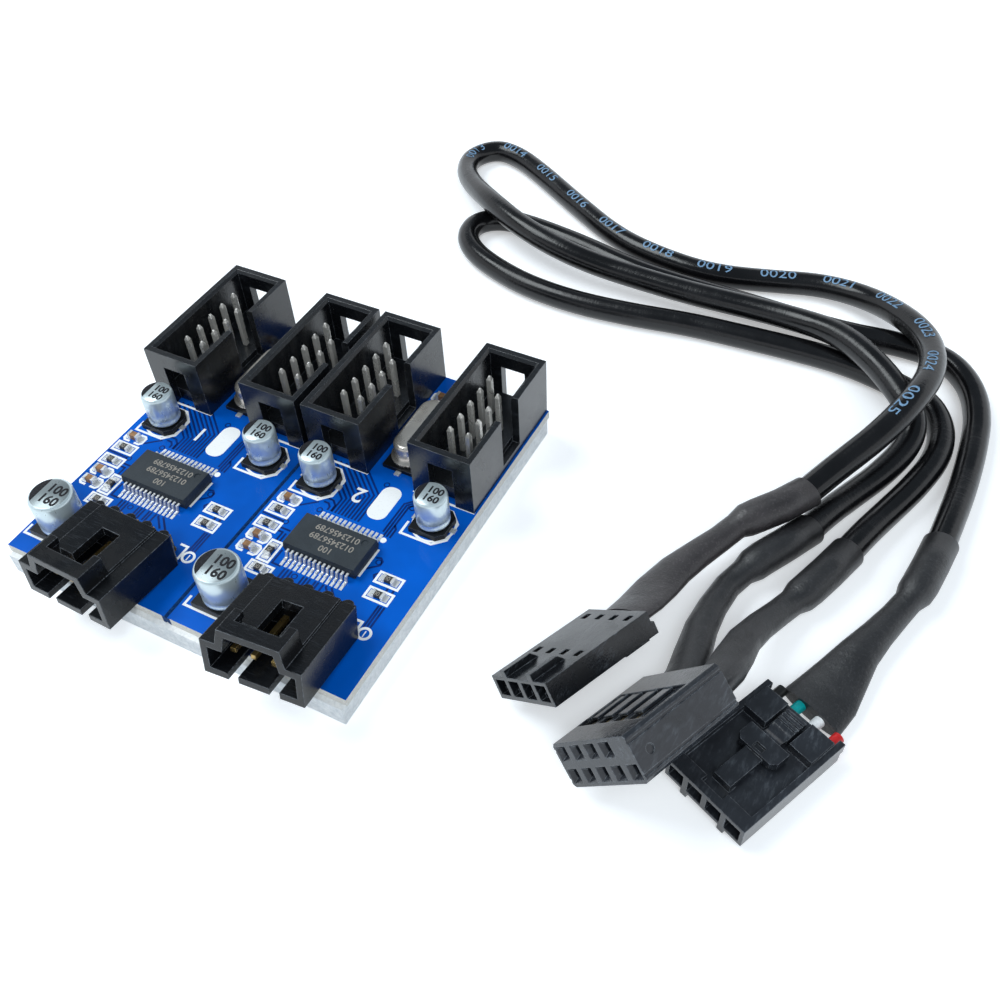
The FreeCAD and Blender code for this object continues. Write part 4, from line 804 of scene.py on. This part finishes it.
class SPLITTER_OT_cables(PieceOperator, Operator):
    """Two free cable legs with their length marks and boots"""

    bl_idname = "splitter.cables"
    bl_label = "Cables"

    def leg_line(self, route, radius):
        """A leg's smooth line, with a thickness or bare."""
        line = bpy.data.curves.new("leg_line", "CURVE")
        line.dimensions = "3D"
        line.bevel_depth = radius
        line.bevel_resolution = CABLE_STEPS
        line.resolution_u = CABLE_STEPS
        line.use_fill_caps = True
        spline = line.splines.new("NURBS")
        spline.points.add(len(route) - 1)
        for point, place in zip(spline.points, route):
            point.co = (*(Vector(place) * MM), 1)
        spline.order_u = 3
        spline.use_endpoint_u = True
        return line

    def wrap_figures(self, bm, route, radius):
        """Wraps plain length marks over the upper side of a leg."""
        holder = bpy.data.objects.new("bare_line", self.leg_line(route, 0))
        bare = bpy.data.meshes.new_from_object(holder)
        places = [vert.co.copy() for vert in bare.vertices]
        bpy.data.objects.remove(holder)
        bpy.data.meshes.remove(bare)
        runs = [0.0]
        for start, end in zip(places, places[1:]):
            runs.append(runs[-1] + (end - start).length)
        for mark in range(MARK_FIRST, int(runs[-1] / (MARK_STEP * MM))):
            figures = bmesh.new()
            mesh = figures_mesh(f"{mark:04d}", MARK_HEIGHT, 0)
            mesh.transform(Matrix.Diagonal((MARK_STRETCH, 1, 1, 1)))
            figures.from_mesh(mesh)
            for cut in range(-MARK_CUTS, MARK_CUTS + 1):
                level = cut * MARK_HEIGHT * MM / (2 * MARK_CUTS + 1)
                bmesh.ops.bisect_plane(figures, geom=figures.verts[:] + figures.edges[:] + figures.faces[:],
                                       dist=JOIN_WITHIN * MM, plane_co=(0, level, 0), plane_no=(0, 1, 0))
            bmesh.ops.remove_doubles(figures, verts=figures.verts, dist=JOIN_WITHIN * MM)
            for vert in figures.verts:
                reach = mark * MARK_STEP * MM + vert.co.x
                index = bisect.bisect(runs, reach) - 1
                along = (places[index + 1] - places[index]).normalized()
                across = UP.cross(along).normalized()
                angle = vert.co.y / radius - MARK_TURN
                outward = along.cross(across) * math.cos(angle) + across * math.sin(angle)
                foot = places[index] + along * (reach - runs[index])
                vert.co = foot + outward * (radius + PRINT_LIFT * MM + vert.co.z)
            figures.to_mesh(mesh)
            figures.free()
            bm.from_mesh(mesh)
            bpy.data.meshes.remove(mesh)

    def execute(self, context):
        look = context.scene.splitter_cable
        vinyl = jacket_vinyl(look)
        ink = jacket_ink(look)
        sleeve = shrink_sleeve("shrink_sleeve", look.boot)
        faded = shrink_sleeve("faded_sleeve", [part * gain for part, gain in zip(look.boot, FADED_GAIN)])
        for number, route in CABLE_ROUTES.items():
            line = self.leg_line(route, look.diameter / 2)
            line.name = f"cable_leg_{number}"
            line.materials.append(vinyl)
            leg = bpy.data.objects.new(f"cable_leg_{number}", line)
            context.scene.collection.objects.link(leg)
            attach(leg, ROOT)
            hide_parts(f"cable_{number}")
            on_leg = []
            if number == 1:
                marks = bmesh.new()
                self.wrap_figures(marks, route, look.diameter / 2)
                on_leg.append(place_piece("length_marks", marks, ink))
            for end in ("hub", "host"):
                node = f"heat_shrink_{end}_{number}"
                skin = faded if (end, number) == ("hub", 1) else sleeve
                on_leg.append(smooth_copy(f"boot_{end}_{number}", node, skin, BOOT_CREASE))
            on_leg += [NODES[f"hub_plug_housing_{number}"], NODES[f"hub_plug_contacts_{number}"]]
            if number == 1:
                on_leg += [NODES["host_plug_housing"], NODES["host_plug_contacts"]]
                on_leg += [NODES[f"wires_{colour}"] for colour in WIRE_COLOURS]
        return {"FINISHED"}


class SPLITTER_OT_board(PieceOperator, Operator):
    """Foam, lacquered board, its dark gaps, white print and tinned pads"""

    bl_idname = "splitter.board"
    bl_label = "Board"

    def frame_lines(self, bm, side, x, y, turn):
        """Printed frame round a resistor."""
        size = Matrix.Rotation(math.radians(turn), 2) @ Vector(RESISTOR_FRAME)
        corners = [spot(side, x + a * size.x / 2, y + b * size.y / 2, PRINT_LIFT)
                   for a, b in ((-1, -1), (1, -1), (1, 1), (-1, 1), (-1, -1))]
        add_path(bm, corners, PRINT_WIDTH, PRINT_LIFT)

    def bracket_lines(self, bm, side, x, y):
        """Two printed brackets with cut corners, one round each end of a ceramic."""
        length, width = CERAMIC_BRACKETS
        outline = [(BRACKET_GAP, 1), (1 - BRACKET_CUT, 1), (1, 1 - 2 * BRACKET_CUT), (1, 2 * BRACKET_CUT - 1),
                   (1 - BRACKET_CUT, -1), (BRACKET_GAP, -1)]
        for end in (-1, 1):
            corners = [spot(side, x + end * a * length / 2, y + b * width / 2, PRINT_LIFT)
                       for a, b in outline]
            add_path(bm, corners, PRINT_WIDTH, PRINT_LIFT)

    def write_on_field(self, bm, side):
        """Blank printed field with round corners."""
        field = bmesh.new()
        add_block(field, spot(side, *WRITE_ON_FIELD, PRINT_LIFT), (*FIELD_SIZE, PRINT_LIFT))
        upright = [edge for edge in field.edges if edge.calc_length() < FIELD_CORNER * MM]
        bmesh.ops.bevel(field, geom=upright, offset=FIELD_CORNER * MM, offset_type="OFFSET", affect="EDGES",
                        segments=CORNER_STEPS, profile=0.5, material=-1)
        add_shape(bm, field)

    def printed_lines(self, bm, side):
        """Everything that is printed on one circuit."""
        for x, y, turn in RESISTORS:
            self.frame_lines(bm, side, x, y, turn)
        for x, y, _ in CERAMICS:
            self.bracket_lines(bm, side, x, y)
        for run in PRINT_RUNS:
            add_path(bm, [spot(side, x, y, PRINT_LIFT) for x, y in run], PRINT_WIDTH, PRINT_LIFT)
        add_path(bm, [spot(side, x, y, PRINT_LIFT) for x, y in CHIP_END_LINE], CHIP_LINE_WIDTH, PRINT_LIFT)
        for x, y in PORT_CANS:
            add_ring(bm, spot(side, x, y), CAN_RING_RADIUS, PRINT_WIDTH, PRINT_LIFT, CAN_STEPS)
        bmesh.ops.create_cone(bm, cap_ends=True, segments=DOT_STEPS, radius1=PIN_ONE_RADIUS * MM,
                              radius2=PIN_ONE_RADIUS * MM, depth=PRINT_LIFT * 2 * MM,
                              matrix=Matrix.Translation(spot(side, *PIN_ONE, PRINT_LIFT)))
        add_ring(bm, spot(side, *CIRCLED_ONE), CIRCLE_RADIUS, PRINT_WIDTH, PRINT_LIFT * 2, RING_STEPS)
        add_figures(bm, "1", CIRCLED_HEIGHT, spot(side, *CIRCLED_ONE, PRINT_LIFT))
        number = "1" if side < 0 else "2"
        add_figures(bm, number, NUMBER_HEIGHT, spot(side, *CIRCUIT_NUMBER, PRINT_LIFT))
        self.write_on_field(bm, side)

    def gap_lines(self, bm, side):
        """The dark lines on one circuit."""
        for run in GAP_RUNS:
            add_path(bm, [spot(side, x, y) for x, y in run], GAP_WIDTH, PRINT_LIFT)
        for index in range(FAN_COUNT):
            x, y = FAN_START[0] + FAN_STEP[0] * index, FAN_START[1] + FAN_STEP[1] * index
            run = ((x, FAN_FOOT), (x, y), (x - (FAN_HEAD - y) * FAN_SLANT, FAN_HEAD))
            add_path(bm, [spot(side, *place) for place in run], GAP_WIDTH, PRINT_LIFT)
        for x, y in VIAS:
            add_ring(bm, spot(side, x, y), VIA_RADIUS, VIA_WIDTH, PRINT_LIFT / 2, VIA_STEPS)

    def tinned_pads(self, bm, side):
        """Pads under both ends of each small part and under the chip's two rows of leads."""
        lift = PAD_HEIGHT / 2
        for x, y, turn in RESISTORS + CERAMICS:
            for end in (-1, 1):
                reach = Matrix.Rotation(math.radians(turn), 2) @ Vector((end * PAD_REACH, 0))
                add_block(bm, spot(side, x + reach.x, y + reach.y, lift), PAD_SIZE, turn)
        for row in (-1, 1):
            for lead in range(LEAD_COUNT):
                x = CHIP[0] + (lead - (LEAD_COUNT - 1) / 2) * LEAD_PITCH
                add_block(bm, spot(side, x, CHIP[1] + row * LEAD_ROW, lift), LEAD_PAD_SIZE)

    def execute(self, context):
        look = context.scene.splitter_board
        coat("foam_pad", foam_cells(look))
        coat("circuit_board", board_lacquer(look))
        ink, gaps, pads = bmesh.new(), bmesh.new(), bmesh.new()
        for side in SIDES.values():
            self.printed_lines(ink, side)
            self.gap_lines(gaps, side)
            self.tinned_pads(pads, side)
        tin = bright_metal("pad_tin", (0.88, 0.89, 0.9, 1), rough=0.28, metal=0.55)
        place_piece("printed_lines", ink, print_ink(look))
        place_piece("tinned_pads", pads, tin)
        place_piece("lacquer_gaps", gaps, trace_lacquer(look))
        return {"FINISHED"}


class SPLITTER_OT_connectors(PieceOperator, Operator):
    """Boxed headers and latching inputs with their pins"""

    bl_idname = "splitter.connectors"
    bl_label = "Connectors"

    def execute(self, context):
        look = context.scene.splitter_part
        box = moulded_plastic("header_plastic", look.plastic, grain=0.25, scuffs=0.27, rough=0.3,
                              rounding=0.1, gloss=0.65)
        tin = bright_metal("pin_tin", (0.86, 0.83, 0.78, 1), rough=0.22, grain=0.6, rounding=0.14,
                           stretch=(1.0, 1.0, 0.2), tarnish=0.12, metal=0.65)
        for number in HEADER_NUMBERS:
            coat(f"header_shroud_{number}", box)
            coat(f"header_pins_{number}", tin)
        shroud = moulded_plastic("input_plastic", shade_of(look.plastic, 0.8), grain=0.2, scuffs=0.18,
                                 rough=0.3, rounding=0.18, gloss=0.32)
        gilt = bright_metal("pin_gilt", (0.55, 0.38, 0.14, 1), rough=0.22, rounding=0.1, metal=0.9)
        for side in SIDES:
            coat(f"input_shroud_{side}", shroud)
            coat(f"input_pins_{side}", gilt)
        return {"FINISHED"}


class SPLITTER_OT_parts(PieceOperator, Operator):
    """Chips, crystals, cans and small parts on the board"""

    bl_idname = "splitter.parts"
    bl_label = "Board parts"

    def can_figures(self, bm, node):
        """Dark mark and plain figures on a can's top."""
        low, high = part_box(node)
        radius = (high.x - low.x) / 2 / MM
        centre = Vector(((low.x + high.x) / 2, (low.y + high.y) / 2, high.z))
        add_segment(bm, centre, radius * CAN_MARK_RADIUS, radius * CAN_MARK_CUT)
        x, y = CAN_FIGURE_PLACE
        for line, body in enumerate(CAN_FIGURES):
            place = centre + Vector((x, y - CAN_FIGURE_STEP * line, 0)) * radius * MM
            add_figures(bm, body, radius * CAN_FIGURE_HEIGHT, place, 0, CAN_FIGURE_BOLDNESS)

    def part_codes(self, bm, name, side):
        """Plain figures on one circuit's chip and resistors."""
        chip_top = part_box(f"hub_chip_{name}")[1].z / MM - BOARD_TOP
        for line, body in enumerate(CHIP_CODES):
            place = spot(side, CHIP[0] + CHIP_CODE_SHIFT, CHIP[1] + CHIP_CODE_STEP * (line - 1), chip_top)
            add_figures(bm, body, CHIP_CODE_HEIGHT, place)
        block_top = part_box(f"resistor_blocks_{name}")[1].z / MM - BOARD_TOP
        for x, y, turn in RESISTORS:
            place = spot(side, x, y, block_top)
            add_figures(bm, RESISTOR_CODE, RESISTOR_CODE_HEIGHT, place, turn + PRINT_TURN)

    def execute(self, context):
        look = context.scene.splitter_part
        seat = moulded_plastic("seat_plastic", look.plastic, grain=0.2, scuffs=0.1, rough=0.4,
                               rounding=0.08, gloss=0.25)
        lead = bright_metal("lead_tin", (0.86, 0.87, 0.88, 1), rough=0.24, grain=0.2, rounding=0.06,
                            metal=0.6)
        steel = bright_metal("crystal_steel", (0.7, 0.65, 0.59, 1), rough=0.24, grain=0.8)
        # Painted shade on the cans' tops: darker on the port cans, darker still on the bulk cans
        can = can_aluminium("can_aluminium", look, top=0.72)
        painted_dark_top_can = can_aluminium("dull_can_aluminium", look, top=0.36)
        skins = {"hub_chip": chip_moulding(look), "hub_chip_leads": lead, "capacitor_tabs": lead,
                 "chip_end_caps": lead, "crystal_base": seat, "bulk_capacitor_base": seat,
                 "resistor_blocks": fired_ceramic("resistor_glaze", (0.02, 0.02, 0.024, 1)),
                 "ceramic_blocks": fired_ceramic("tan_ceramic", look.ceramic)}
        for side in SIDES:
            for node, skin in skins.items():
                coat(f"{node}_{side}", skin)
            smooth_copy(f"crystal_shell_{side}", f"crystal_can_{side}", steel, CAN_CREASE)
            smooth_copy(f"bulk_can_{side}", f"bulk_capacitor_can_{side}", painted_dark_top_can,
                        CAN_CREASE)
        tops, codes = bmesh.new(), bmesh.new()
        for number in HEADER_NUMBERS:
            self.can_figures(tops, f"port_capacitor_can_{number}")
        for name, side in SIDES.items():
            self.can_figures(tops, f"bulk_capacitor_can_{name}")
            self.part_codes(codes, name, side)
        place_piece("can_print", tops, can_ink())
        place_piece("part_codes", codes, code_ink())
        for number in HEADER_NUMBERS:
            coat(f"port_capacitor_base_{number}", seat)
            smooth_copy(f"port_can_{number}", f"port_capacitor_can_{number}", can,
                        CAN_CREASE)
        return {"FINISHED"}


class SPLITTER_OT_plugs(PieceOperator, Operator):
    """Plugs and wires on the cable"""

    bl_idname = "splitter.plugs"
    bl_label = "Plugs"

    def execute(self, context):
        look = context.scene.splitter_part
        housing = moulded_plastic("plug_plastic", look.plastic, grain=0.22, scuffs=0.4, rough=0.3,
                                  rounding=0.14, gloss=0.6, brush=(5.0, 1.0, 3.0))
        # Painted sheen and wear: a copy of the black plastic 3.2 times lighter, with more scuffs, stands in
        # for the bright reflections on the host plug and the second hub plug
        sheen_and_wear_plastic = moulded_plastic("rubbed_plastic", shade_of(look.plastic, 3.2), grain=0.3, scuffs=0.7,
                                 rough=0.22, rounding=0.16, gloss=0.6, brush=(4.0, 1.0, 4.0))
        crimp = bright_metal("crimp_brass", (0.55, 0.45, 0.28, 1), rough=0.3)
        coat("host_plug_housing", sheen_and_wear_plastic)
        coat("host_plug_contacts", crimp)
        for number, plastic in enumerate((housing, sheen_and_wear_plastic), 1):
            coat(f"hub_plug_housing_{number}", plastic)
            coat(f"hub_plug_contacts_{number}", crimp)
        for name, colour in WIRE_COLOURS.items():
            coat(f"wires_{name}", wire_skin(f"wire_{name}", colour))
        return {"FINISHED"}


class SPLITTER_PT_panel(Panel):
    """Sidebar list of the looks and the steps"""

    bl_idname = "SPLITTER_PT_panel"
    bl_label = "Header splitter"
    bl_space_type = "VIEW_3D"
    bl_region_type = "UI"
    bl_category = "Splitter"

    def draw(self, context):
        for group, look in LOOKS.items():
            for name in look.__annotations__:
                self.layout.prop(getattr(context.scene, group), name)
        for operator in OPERATORS:
            self.layout.operator(operator.bl_idname)


LOOKS = {"splitter_board": BoardLook, "splitter_part": PartLook, "splitter_cable": CableLook,
         "splitter_stage": StageLook}
OPERATORS = (SPLITTER_OT_stage, SPLITTER_OT_cables, SPLITTER_OT_board, SPLITTER_OT_connectors,
             SPLITTER_OT_parts, SPLITTER_OT_plugs)


def register():
    for group, look in LOOKS.items():
        bpy.utils.register_class(look)
        setattr(bpy.types.Scene, group, PointerProperty(type=look))
    for operator in OPERATORS:
        bpy.utils.register_class(operator)
    bpy.utils.register_class(SPLITTER_PT_panel)


def unregister():
    bpy.utils.unregister_class(SPLITTER_PT_panel)
    for operator in reversed(OPERATORS):
        bpy.utils.unregister_class(operator)
    for group, look in reversed(LOOKS.items()):
        delattr(bpy.types.Scene, group)
        bpy.utils.unregister_class(look)


def main():
    register()
    for step in ("stage", "cables", "board", "connectors", "parts", "plugs"):
        getattr(bpy.ops.splitter, step)()


if __name__ == "__main__":
    main()
